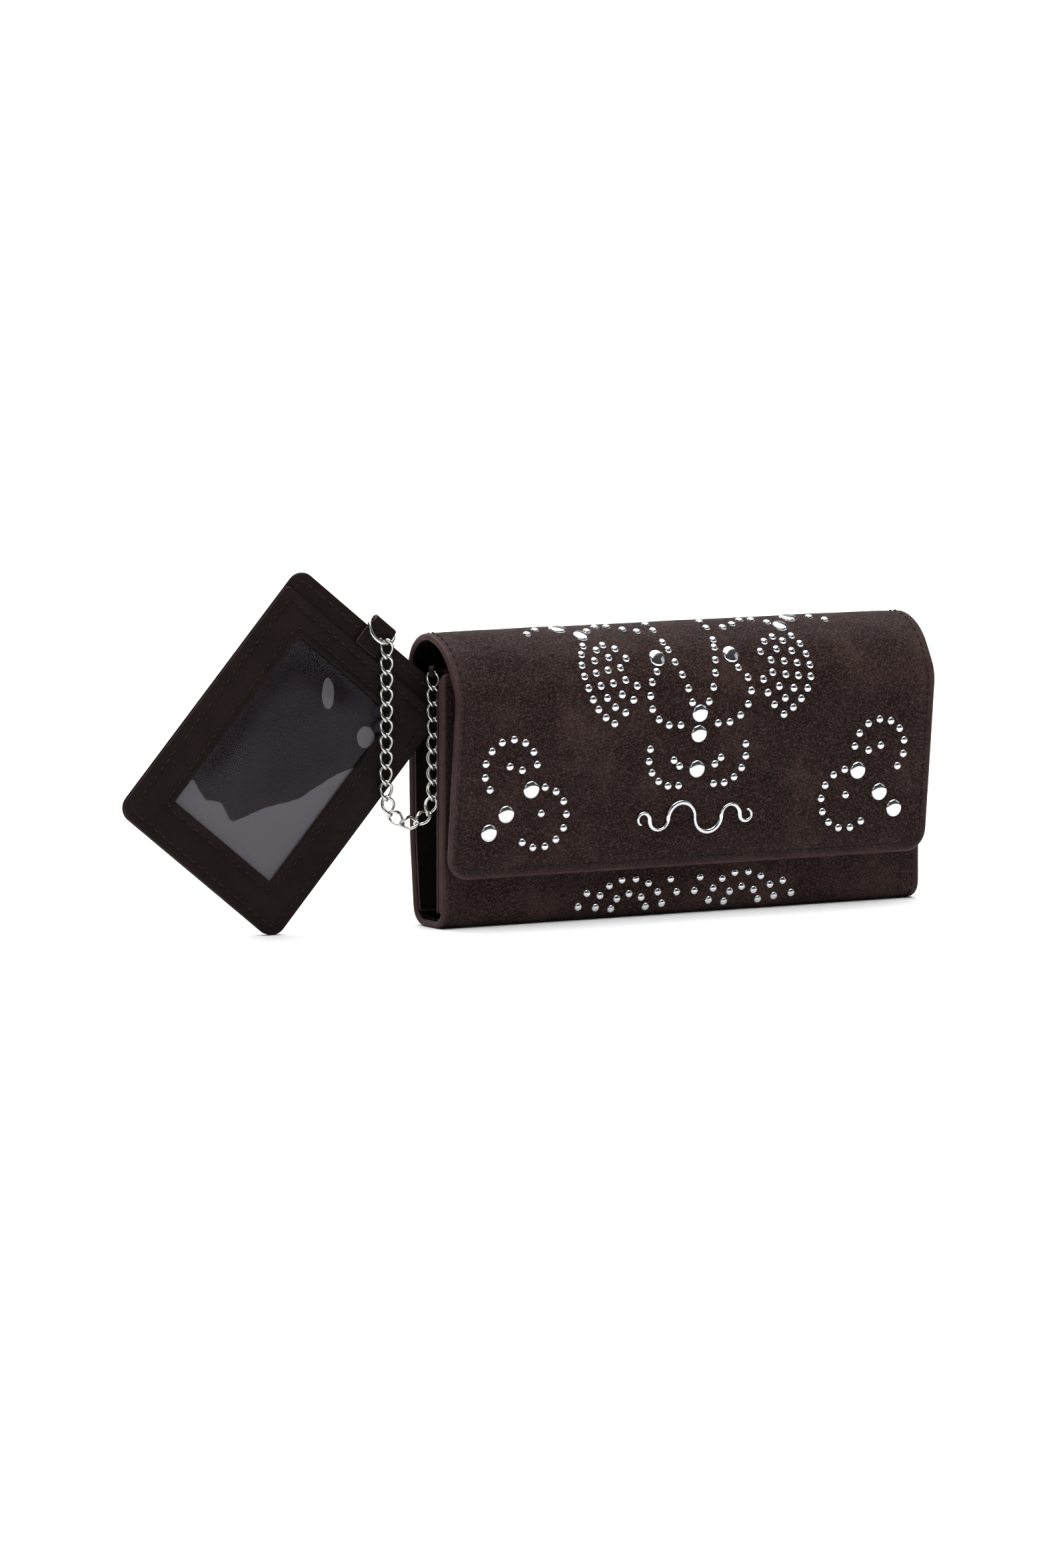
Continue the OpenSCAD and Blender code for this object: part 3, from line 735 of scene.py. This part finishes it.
# ---------------------------------------------------------------- scroll ornament
def make_scroll():
    """A wave of shrinking arcs that ends in two curls, the same turned half round."""
    arcs = ((5.0, 5.0, 180, 180), (13.5, 3.5, 180, -180), (19.5, 2.5, 180, 270))
    half = []
    for centre, radius, start, turn in arcs:
        angle = np.radians(np.linspace(start, start + turn, 26))
        shrink = np.linspace(1, 0.62, 26) if turn == 270 else 1
        half.extend(np.stack([centre + radius * shrink * np.cos(angle), radius * shrink * np.sin(angle)], 1))
    half = np.array(half)
    keep = np.concatenate([[True], np.linalg.norm(np.diff(half, axis=0), axis=1) > 1e-3])
    half = half[keep]
    line = np.concatenate([-half[:0:-1], half])
    run = np.linspace(-1, 1, len(line))
    swell = 0.52 + 0.38 * np.abs(np.sin(run * 7)) * (1 - np.abs(run) ** 4)
    ends = np.clip((1 - np.abs(run)) / 0.03, 0.25, 1)
    low, high = extent("flap_badge")
    middle = (low + high) / 2
    across, up = np.array([1.0, 0, 0]), np.array([0, -np.sin(FLAP_LEAN), np.cos(FLAP_LEAN)])
    outward = np.cross(across, up)
    size = 1.08
    path = middle + size * (line[:, :1] * across + line[:, 1:] * up)
    form = tube(path, swell * ends, 0.62 * ends, outward, 14)
    settle(make_piece("scroll_ornament", *form, [CHROME]), "chrome", "flap", "flap_badge")


make_scroll()


# ---------------------------------------------------------------- inside the wallet
def upright(face_y, facing=1):
    """A panel that stands upright: u along the wallet, v its height. facing is 1 to the front and
    -1 to the back."""
    return lambda u, v, depth: joined(u, face_y + facing * depth, v)


def make_front_board():
    low, high = extent("front_pocket_panel")
    area = Area(low[0] - 0.7, high[0] + 0.7, low[2], high[2], 1.5, 2.5)
    thick = 2.0
    looks = [BOARD, EDGE, BOARD]
    worn = lambda u, v, inset, rim: ripple(u, v, 0.04)
    made = panel("front_board", area, thick, upright(high[1] - thick), looks, 4, worn)
    settle(made, "smooth_leather", "wallet", "front_pocket_panel")


def back_inner_y(z):
    """The back's inner surface at a height."""
    back = (PROFILE[:, 2] >= 270) & (PROFILE[:, 2] <= 360)
    return np.interp(z, PROFILE[back, 1], PROFILE[back, 0]) - BODY_T


def make_gusset(name, node, side):
    """A soft V of lining leather, folded into the wallet."""
    low, high = extent(node)
    spread, thick, outer_x = 40.0, 0.8, 96.4
    depth_x, top, bottom = high[0] - low[0] - thick, high[2], low[2]
    front_y, fold_y = low[1] + 0.4, 0.5

    def place(u, v, depth):
        share = np.asarray(u) / spread
        fold = 1 - np.sqrt((1 - 2 * share) ** 2 + 0.012)
        sag = 1.2 * np.sin(np.pi * np.clip((v - bottom) / (top - bottom), 0, 1))
        x = outer_x - (depth_x - sag) * np.clip(fold, 0, 1)
        behind = np.clip(back_inner_y(v) - 0.5, front_y + 1, None)
        blend = 0.5 + 0.5 * np.tanh((share - 0.5) * 14)
        front_leg = front_y + (fold_y - front_y) * np.clip(share * 2, 0, 1)
        back_leg = behind + (fold_y - behind) * np.clip(2 - share * 2, 0, 1)
        y = front_leg * (1 - blend) + back_leg * blend
        y = y + depth * np.where(share < 0.5, 1, -1) * np.clip(np.abs(share - 0.5) * 20, 0, 1)
        x = x - depth * np.clip(1 - np.abs(share - 0.5) * 20, 0, 1)
        return joined(side * x, y, v + 0 * u)

    area = Area(0, spread, bottom, top - 1, 1, 1)
    made = panel(name, area, thick, place, [LINING, EDGE, LINING], 1.6, paint=0.3)
    settle(made, "lining", "wallet", node)


def make_card_slots(prefix, node, face_y, towards):
    """Two columns of three stepped pockets, each with a turned edge and a thumb dip."""
    low, high = extent(node)
    half = (high[0] - low[0]) / 2
    step, foot_z, top_z, row_drop, gap = 0.7, 9, 78, 12, 0.4
    turned_edge = lambda u, v, inset, rim: groove(inset - 1.8, 0.12, 0.4)
    for column in (0, 1):
        u0 = low[0] + column * half + gap
        u1 = u0 + half - 2 * gap
        for row in range(3):
            mouth_z = top_z - row_drop * row
            flat = upright(face_y + towards * step * (row + 1), -towards)

            def place(u, v, depth, flat=flat, mouth_z=mouth_z, middle=(u0 + u1) / 2):
                near_mouth = np.clip((v - mouth_z + row_drop) / row_drop, 0, 1)
                return flat(u, v - 2.2 * np.exp(-((u - middle) / 13) ** 2) * near_mouth, depth)

            area = Area(u0, u1, foot_z, mouth_z, 1.5, 2)
            name = f"{prefix}_{column + 1}_{row + 1}"
            made = panel(name, area, 0.68, place, [SMOOTH] * 3, 4, turned_edge)
            settle(made, "smooth_leather", "wallet", *((node,) if row == column == 0 else ()))
            if row == 2:
                column_lines = seam_lines(area._replace(v1=top_z, cut1=True), 1.8)
                stitches(f"{name}_stitching", column_lines, flat, "wallet", "smooth_leather", 2.8, 2.0, 0.2)


def make_coin_pocket():
    """A padded pouch of two cloth walls that bulge between their seams, and open at the zip."""
    low, high = extent("coin_pocket")
    middle, half = (low[1] + high[1]) / 2, (high[1] - low[1]) / 2
    area = Area(low[0], high[0], low[2], high[2], 3, 1)

    def bulge(u, v):
        sides = 1 - np.abs(2 * (u - low[0]) / (high[0] - low[0]) - 1) ** 8
        foot = 1 - np.clip(1 - (v - low[2]) / 14, 0, 1) ** 3
        return 0.75 + (half - 0.75) * sides * foot

    creased = lambda u, v, inset, rim: ripple(u, v, 0.05)
    for name, sign in (("coin_pocket_front_wall", -1), ("coin_pocket_back_wall", 1)):
        place = lambda u, v, depth, sign=sign: joined(u, middle + sign * (bulge(u, v) - depth), v)
        made = panel(name, area, 0.7, place, [LINING] * 3, 3, creased)
        settle(made, "lining", "wallet", *(("coin_pocket",) if sign < 0 else ()))


def make_zip_tapes():
    """A woven tape to each side of the teeth, which keep their CAD shape."""
    low, high = extent("zip_tapes")
    teeth_y, half_gap = 0.9, 0.75
    place = lambda u, v, depth: joined(u, v, high[2] - depth + 0 * u)
    rows = (("zip_tape_front", low[1], teeth_y - half_gap, ("zip_tapes",)),
            ("zip_tape_back", teeth_y + half_gap, high[1], ()))
    for name, y0, y1, nodes in rows:
        made = panel(name, Area(low[0], high[0], y0, y1, 0.4, 0.4), 0.7, place, [TAPE] * 3, 0.8, paint=0.1)
        settle(made, "zip_tape", "wallet", *nodes)


def slider_outline(half):
    """Outline of a slider's plate: a square with round sides, narrower at the nose."""
    outline = []
    for angle in np.radians(np.arange(0, 360, 12)):
        nose = 0.72 + 0.28 * np.cos(angle)
        reach = (abs(np.cos(angle)) ** 3 + abs(np.sin(angle)) ** 3) ** (-1 / 3)
        outline.append((half[0] * reach * np.cos(angle), half[1] * nose * reach * np.sin(angle)))
    return outline


def make_zip_slider():
    """Two plates with soft cast edges, and a bridge of two legs and a pin that holds the pull."""
    low, high = extent("zip_slider")
    centre, half = (low + high) / 2, (high - low) / 2
    outline = slider_outline(half)
    levels = ((0.80, 0.0), (0.97, 0.12), (1.0, 0.32), (0.97, 0.52), (0.80, 0.66))
    parts = Parts()
    for base, thin in ((low[2] - 0.9, 0.8), (low[2] + 0.15, 1.0)):
        rings = [[(centre[0] + x * share, centre[1] + y * share, base + thin * height) for x, y in outline]
                 for share, height in levels]
        below = (centre[0], centre[1], base)
        above = (centre[0], centre[1], base + thin * levels[-1][1])
        parts.add(*stacked(rings, below, above))
    foot, top, leg_y = low[2] + 0.3, high[2] - 0.45, 1.45
    for side in (-1, 1):
        leg = [[centre[0] + 0.1, centre[1] + side * leg_y, foot + t * (top - foot)] for t in (0, 0.5, 1)]
        parts.add(*tube(leg, 0.85, 0.42, [0, 1, 0], 12))
    half_turn = np.linspace(0, np.pi, 13)
    pin = [[centre[0], centre[1] + leg_y * np.cos(t), top + 0.1 * np.sin(t)] for t in half_turn]
    parts.add(*tube(pin, 0.46, 0.46, [1, 0, 0], 12))
    settle(parts.piece("zip_slider_cast", STEEL), "zip_metal", "zip_slider", "zip_slider")


def make_zip_pull():
    """An eye round the slider's pin, and a blade that swells and tapers to its tip."""
    low, high = extent("zip_pull")
    axis_x, middle_y, middle_z = low[0] + 1.05, (low[1] + high[1]) / 2, (low[2] + high[2]) / 2
    eye = [[axis_x + np.cos(t), middle_y, middle_z + np.sin(t)] for t in np.arange(20) * np.pi / 10]
    parts = Parts()
    parts.add(*tube(eye, 0.42, 0.42, [0, 1, 0], 10, closed=True))
    share = np.linspace(0, 1, 22)
    along = np.linspace(0.9, high[0] - axis_x, len(share))
    width = 0.55 + 0.62 * np.sin(np.pi * share ** 0.8) ** 0.6
    width[-1] = 0.3
    parts.add(*tube(joined(axis_x + along, middle_y, middle_z), width, 0.45, [0, 0, 1], 14))
    settle(parts.piece("zip_pull_cast", STEEL), "zip_metal", "zip_pull", "zip_pull")


def make_divider():
    low, high = extent("bill_divider")
    sway = lambda u, v: 0.18 * np.sin(u * 0.09) * np.clip((v - 20) / 60, 0, 1)
    place = lambda u, v, depth: joined(u, low[1] + depth + sway(u, v), v)
    area = Area(low[0], high[0], low[2], high[2], 1, 4)
    made = panel("note_divider", area, 0.7, place, [LINING] * 3, 3, paint=0.1)
    settle(made, "lining", "wallet", "bill_divider")


def make_snaps():
    """Magnetic snap: a ring with a well on the front, and a cap with a pin on the flap."""
    low, high = extent("snap_socket")
    middle = (low + high) / 2
    socket = [(0, 0.0), (7.0, 0.0), (7.1, 0.35), (6.8, 0.8), (6.0, 1.15), (5.0, 1.3), (4.4, 1.22), (3.9, 1.3),
              (3.3, 1.22), (3.0, 1.0), (2.9, 0.5), (0, 0.45)]
    form = lathe(socket, [0, high[1], middle[2]], [0, -1, 0], 40)
    settle(make_piece("snap_ring", *form, [STEEL]), "snap_metal", "wallet", "snap_socket")
    seat = on_sheet(0.0, float(np.interp(middle[2], PROFILE[::-1, 1][:5], RUN[::-1][:5])), FLAP_T - 0.05)
    cap = [(0, 0.0), (7.0, 0.0), (7.0, 0.2), (6.6, 0.5), (5.0, 0.7), (3.0, 0.75), (2.4, 0.85), (2.3, 1.3),
           (1.9, 1.5), (0, 1.55)]
    form = lathe(cap, seat, [0, np.cos(FLAP_LEAN), np.sin(FLAP_LEAN)], 40)
    settle(make_piece("snap_cap", *form, [STEEL]), "snap_metal", "flap", "snap_stud")


make_front_board()
make_gusset("left_fold_gusset", "left_gusset", -1)
make_gusset("right_fold_gusset", "right_gusset", 1)
make_card_slots("front_slot", "front_card_slots", extent("front_card_slots")[0][1], 1)
make_card_slots("back_slot", "back_card_slots", extent("back_card_slots")[1][1], -1)
make_coin_pocket()
make_zip_tapes()
make_zip_slider()
make_zip_pull()
make_divider()
make_snaps()


# ---------------------------------------------------------------- card holder
LEAN, YAW = np.radians(39.7), np.radians(-7)
HOLDER_TURN = np.array(Matrix.Rotation(YAW, 3, "Z") @ Matrix.Rotation(LEAN, 3, "Y"))


def holder_corner():
    """The origin of the holder's own frame: its right, front, lower corner, from the back panel."""
    local = node_points("holder_back_panel") @ HOLDER_TURN
    return np.array([local[:, 0].max(), local[:, 1].min(), local[:, 2].min()])


CORNER = holder_corner()
HOLDER_W, HOLDER_H, HOLDER_R = 73.5, 105.0, 5.5
FRAME_TOP = HOLDER_H - 8
WINDOW = (-HOLDER_W / 2 - 22.5, -HOLDER_W / 2 + 22.5, 15.0, 86.0)
WINDOW_SEAM = 3.0


def in_holder(x, y, z):
    """A point of the holder's own frame in the row frame."""
    return (joined(x, y, z) + CORNER) @ HOLDER_TURN.T


def holder_face(y, towards=1):
    """towards is 1 for a panel whose face looks to the front, and -1 to the back."""
    return lambda u, v, depth: in_holder(u, y + towards * depth, v)


def make_holder_back():
    area = Area(-HOLDER_W, 0, 0, HOLDER_H, HOLDER_R, HOLDER_R)
    thick = 1.9
    place = holder_face(thick, -1)
    pressed = lambda u, v, inset, rim: groove(inset - SEAM, 0.16) + ripple(u, v, 0.03)
    made = panel("holder_back_leather", area, thick, place, [SMOOTH] * 3, 3, pressed)
    settle(made, "smooth_leather", "card_holder", "holder_back_panel")
    stitches("holder_back_stitching", seam_lines(area, SEAM), place, "card_holder", "smooth_leather")
    strip = area._replace(v0=FRAME_TOP, cut0=True)
    stitches("holder_top_stitching", seam_lines(strip, SEAM), holder_face(0), "card_holder", "smooth_leather")


def make_holder_front():
    area = Area(-HOLDER_W, 0, 0, FRAME_TOP, HOLDER_R, 1.2)

    def relief(u, v, inset, rim):
        grooves = groove(inset - SEAM, 0.16) + groove(rim - WINDOW_SEAM, 0.16)
        rolled = -groove(rim - 0.9, 0.30) - groove(FRAME_TOP - v - 1.0, 0.18, 0.8)
        return grooves + rolled + ripple(u, v, 0.03)

    place = holder_face(-1.8)
    made = panel("holder_front_leather", area, 1.4, place, [SMOOTH] * 3, 3, relief, WINDOW, 0.2)
    settle(made, "smooth_leather", "card_holder", "holder_front_frame")
    sewn = ("card_holder", "smooth_leather", 3.4, 1.9)
    stitches("holder_front_stitching", seam_lines(area, SEAM), place, *sewn)
    opening = Area(*WINDOW, 0.5, 0.5)
    stitches("window_stitching", seam_lines(opening, -WINDOW_SEAM), place, *sewn)


def crease_line(across):
    """Height share of the film's crease: level at the left, and rising to the right."""
    return 0.12 + 0.57 * np.clip((across - 0.45) / 0.55, 0, 1) ** 1.3 + 0.018 * np.sin(across * 21 + 1)


def in_window(u, v):
    """Shares of the window's width and height."""
    return (u - WINDOW[0]) / (WINDOW[1] - WINDOW[0]), (v - WINDOW[2]) / (WINDOW[3] - WINDOW[2])


def add_painted_reflection(film):
    """Marks where reflection is painted on the film: a pale patch below its crease, and two small painted
    glints near the top.
    """
    points = np.array([v.co for v in film.data.vertices]) / MM @ HOLDER_TURN - CORNER
    across, up = in_window(points[:, 0], points[:, 2])
    # painted reflection below the crease
    patch = 0.5 - 9 * (up - crease_line(across))
    upright_points = in_holder(points[:, 0], 0, points[:, 2])
    width, height = WINDOW[1] - WINDOW[0], WINDOW[3] - WINDOW[2]
    # painted glints: two small ovals near the top of the window
    for middle_u, middle_v, reach_x, reach_z in ((0.47, 0.88, 2.2, 5.4), (0.93, 0.84, 3.4, 3.8)):
        away = upright_points - in_holder(WINDOW[0] + middle_u * width, 0, WINDOW[2] + middle_v * height)
        patch = np.maximum(patch, np.clip(1.5 - np.hypot(away[:, 0] / reach_x, away[:, 2] / reach_z), 0, 1))
    painted_reflection = film.data.attributes.new("painted_reflection", "FLOAT", "POINT")
    painted_reflection.data.foreach_set("value", np.clip(patch, 0, 1).astype(np.float32))


def make_window():
    """Soft film that bows out of its frame, with a long crease that rises to the right."""
    margin = 3.0
    area = Area(WINDOW[0] - margin, WINDOW[1] + margin, WINDOW[2] - margin, WINDOW[3] + margin)

    def place(u, v, depth):
        across, up = in_window(u, v)
        inside = np.clip(across, 0, 1) * np.clip(1 - across, 0, 1) * np.clip(up, 0, 1) * np.clip(1 - up, 0, 1)
        held = np.clip(inside * 30, 0, 1)
        held = held * held * (3 - 2 * held)
        fall = 0.55 / (1 + np.exp(-26 * (up - crease_line(across))))
        wave = 0.10 * np.sin(across * 5 + up * 6) + 0.05 * np.sin(across * 13 - up * 9 + 2)
        return in_holder(u, -0.40 + depth * 0.5 - held * (0.25 + fall * 0.6 + wave), v)

    film = panel("window_film", area, 0.35, place, [VINYL] * 3, 1.2)
    add_painted_reflection(film)
    settle(film, "clear_film", "card_holder", "holder_window")


TAB_W = 9.6
BAR = np.array([-HOLDER_W / 2, -1.2, HOLDER_H + 2.4])


def make_tab():
    """A strap folded over the ring's bar: down the front to the frame, and behind into the seam."""
    outer_r, thick = 1.95, 1.05
    angles = np.radians(np.linspace(190, -10, 21))
    loop = [(BAR[1] + outer_r * np.cos(a), BAR[2] + outer_r * np.sin(a)) for a in angles]
    front = [(-1.40, FRAME_TOP + 0.3), (-1.42, FRAME_TOP + 3.5), (-1.55, FRAME_TOP + 7.0)]
    line = np.array(front + loop + [(0.3, HOLDER_H - 0.2)])
    run = distances(line)
    slope = np.gradient(line, run, axis=0)
    slope /= np.linalg.norm(slope, axis=1)[:, None]

    def place(u, v, depth):
        y, z = np.interp(v, run, line[:, 0]), np.interp(v, run, line[:, 1])
        along_y, along_z = np.interp(v, run, slope[:, 0]), np.interp(v, run, slope[:, 1])
        return in_holder(BAR[0] + u, y + depth * along_z, z - depth * along_y)

    area = Area(-TAB_W / 2, TAB_W / 2, 0, run[-1], 0.8, 0.5)
    made = panel("ring_tab", area, thick, place, [SMOOTH, EDGE, SMOOTH], 0.7, paint=0.35)
    settle(made, "smooth_leather", "card_holder", "holder_tab")
    side = area._replace(v0=1.5, v1=8.5, cut0=True, cut1=True)
    stitches("tab_stitching", seam_lines(side, 1.3), place, "card_holder", "smooth_leather", 2.4, 1.5, 0.2)


def make_rivet():
    points = welded_islands("holder_rivet")[0]
    centre, axis, radius = stud_seat(points)
    form = lathe([(r * radius, 0.6 * h * radius) for r, h in SMALL_DOME], centre, axis, 20)
    settle(make_piece("tab_rivet", *form, [NICKEL]), "chain_metal", "card_holder", "holder_rivet")


def make_ring():
    """D-ring of round wire: a straight bar in the tab, and a half circle that the chain hangs from."""
    radius, neck, tilt, wire = 5.45, 1.0, np.radians(33), 0.7
    bend = 0.9
    turn = np.linspace(0, np.pi, 41)
    flat = [(radius * np.cos(t), -neck - radius * np.sin(t)) for t in turn]
    flat += [(-radius, -bend)] + [(-radius + bend * (1 - np.cos(t)), -bend * (1 - np.sin(t)))
                                  for t in np.radians((30, 60, 90))]
    flat += [(along, 0) for along in np.linspace(-radius + bend + 0.5, radius - bend - 0.5, 9)]
    flat += [(radius - bend * (1 - np.cos(t)), -bend * (1 - np.sin(t))) for t in np.radians((90, 60, 30))]
    flat += [(radius, -bend)]
    flat = np.array(flat)
    x, hang = flat.T
    path = in_holder(BAR[0] + x, BAR[1] + hang * np.sin(tilt), BAR[2] + hang * np.cos(tilt))
    across = in_holder(0, np.cos(tilt), -np.sin(tilt)) - in_holder(0, 0, 0)
    form = tube(path, wire, wire, across, 18, closed=True)
    settle(make_piece("d_ring", *form, [NICKEL]), "chain_metal", "card_holder", "holder_d_ring")


make_holder_back()
make_holder_front()
make_window()
make_tab()
make_rivet()
make_ring()


# ---------------------------------------------------------------- chain
def make_links():
    """Curb links: ovals of round wire, each twisted by 116 degrees from end to end."""
    width, wire, pitch, half_twist = 5.2, 1.15, 5.5, np.radians(-58)
    half_w, half_l = (width - wire) / 2, (pitch + wire) / 2
    turn = np.arange(44) * 2 * np.pi / 44
    x, z = half_w * np.cos(turn), half_l * np.sin(turn)
    twist = half_twist * z / half_l
    flat = np.stack([x * np.cos(twist), x * np.sin(twist), z], 1)
    for number in range(1, 24):
        node = f"chain_link_{number:02d}"
        corners = np.unique(np.round(node_points(node), 3), axis=0)
        middle = corners.mean(0)
        span, across = np.linalg.svd(corners - middle)[2][:2]
        path = flat @ np.stack([across, np.cross(span, across), span]) + middle
        form = tube(path, wire / 2, wire / 2, path - middle, 14, closed=True)
        settle(make_piece(f"curb_link_{number:02d}", *form, [NICKEL]), "chain_metal", "chain", node)


make_links()


# ---------------------------------------------------------------- CAD nodes that stay
def dress(node, material, bevel):
    """A CAD node keeps its shape, with its edges eased."""
    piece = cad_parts[node]
    piece.data.materials.clear()
    piece.data.materials.append(material)
    eased = piece.modifiers.new("eased", "BEVEL")
    eased.width = bevel * MM
    eased.segments = 3
    eased.limit_method = "ANGLE"


dress("zip_teeth", STEEL, 0.14)
dress("chain_strap", SMOOTH, 0.3)


# ---------------------------------------------------------------- stage and light
def make_stage():
    """A pale floor that curves up into a backdrop far behind."""
    half_x, front_y, back_y, bend, top = 6.0, -6.0, 3.0, 1.5, 5.0
    line = [(front_y, 0), (back_y, 0)]
    line += [(back_y + bend * np.sin(a), bend * (1 - np.cos(a))) for a in np.radians(np.arange(10, 91, 10))]
    line += [(back_y + bend, top)]
    points = [(x, y, z) for y, z in line for x in (-half_x, half_x)]
    mesh = bpy.data.meshes.new("floor")
    mesh.from_pydata(points, [], [(2 * i, 2 * i + 1, 2 * i + 3, 2 * i + 2) for i in range(len(line) - 1)])
    mesh.polygons.foreach_set("use_smooth", [True] * len(mesh.polygons))
    floor = bpy.data.objects.new("floor", mesh)
    bpy.context.scene.collection.objects.link(floor)
    look = Look("pale_floor")
    look.colour(look.ramp(look.noise(3, 2), (0.3, (0.90, 0.90, 0.90)), (0.7, (0.93, 0.93, 0.93))))
    look.roughness(look.noise(5, 2), 0.55, 0.65)
    mesh.materials.append(look.material)


def softbox(name, place, target, width, height, power):
    light = bpy.data.lights.new(name, "AREA")
    light.shape = "RECTANGLE"
    light.size, light.size_y = width, height
    light.energy = power
    lamp = bpy.data.objects.new(name, light)
    lamp.location = place
    lamp.rotation_euler = (Vector(target) - Vector(place)).to_track_quat("-Z", "Y").to_euler()
    bpy.context.scene.collection.objects.link(lamp)


def make_world():
    """A dim grey room, so that polished metal has something dark to reflect."""
    world = bpy.data.worlds.new("room")
    world.use_nodes = True
    bpy.context.scene.world = world
    world.node_tree.nodes["Background"].inputs["Color"].default_value = (0.50, 0.50, 0.52, 1)
    world.node_tree.nodes["Background"].inputs["Strength"].default_value = 0.11


make_stage()
make_world()
softbox("over", (0.1, 0.1, 1.9), (0, 0, 0), 2.6, 2.6, 104)
softbox("left", (-1.9, -1.6, 1.3), (0, 0, 0.05), 1.2, 1.6, 5)
softbox("right", (2.2, -1.2, 1.1), (0, 0, 0.05), 1.0, 1.4, 3)
softbox("behind", (0, 2.6, 2.8), (0, 4.4, 1.0), 5.0, 1.5, 190)
bpy.context.scene.view_settings.view_transform = "Standard"
bpy.context.scene.view_settings.look = "None"
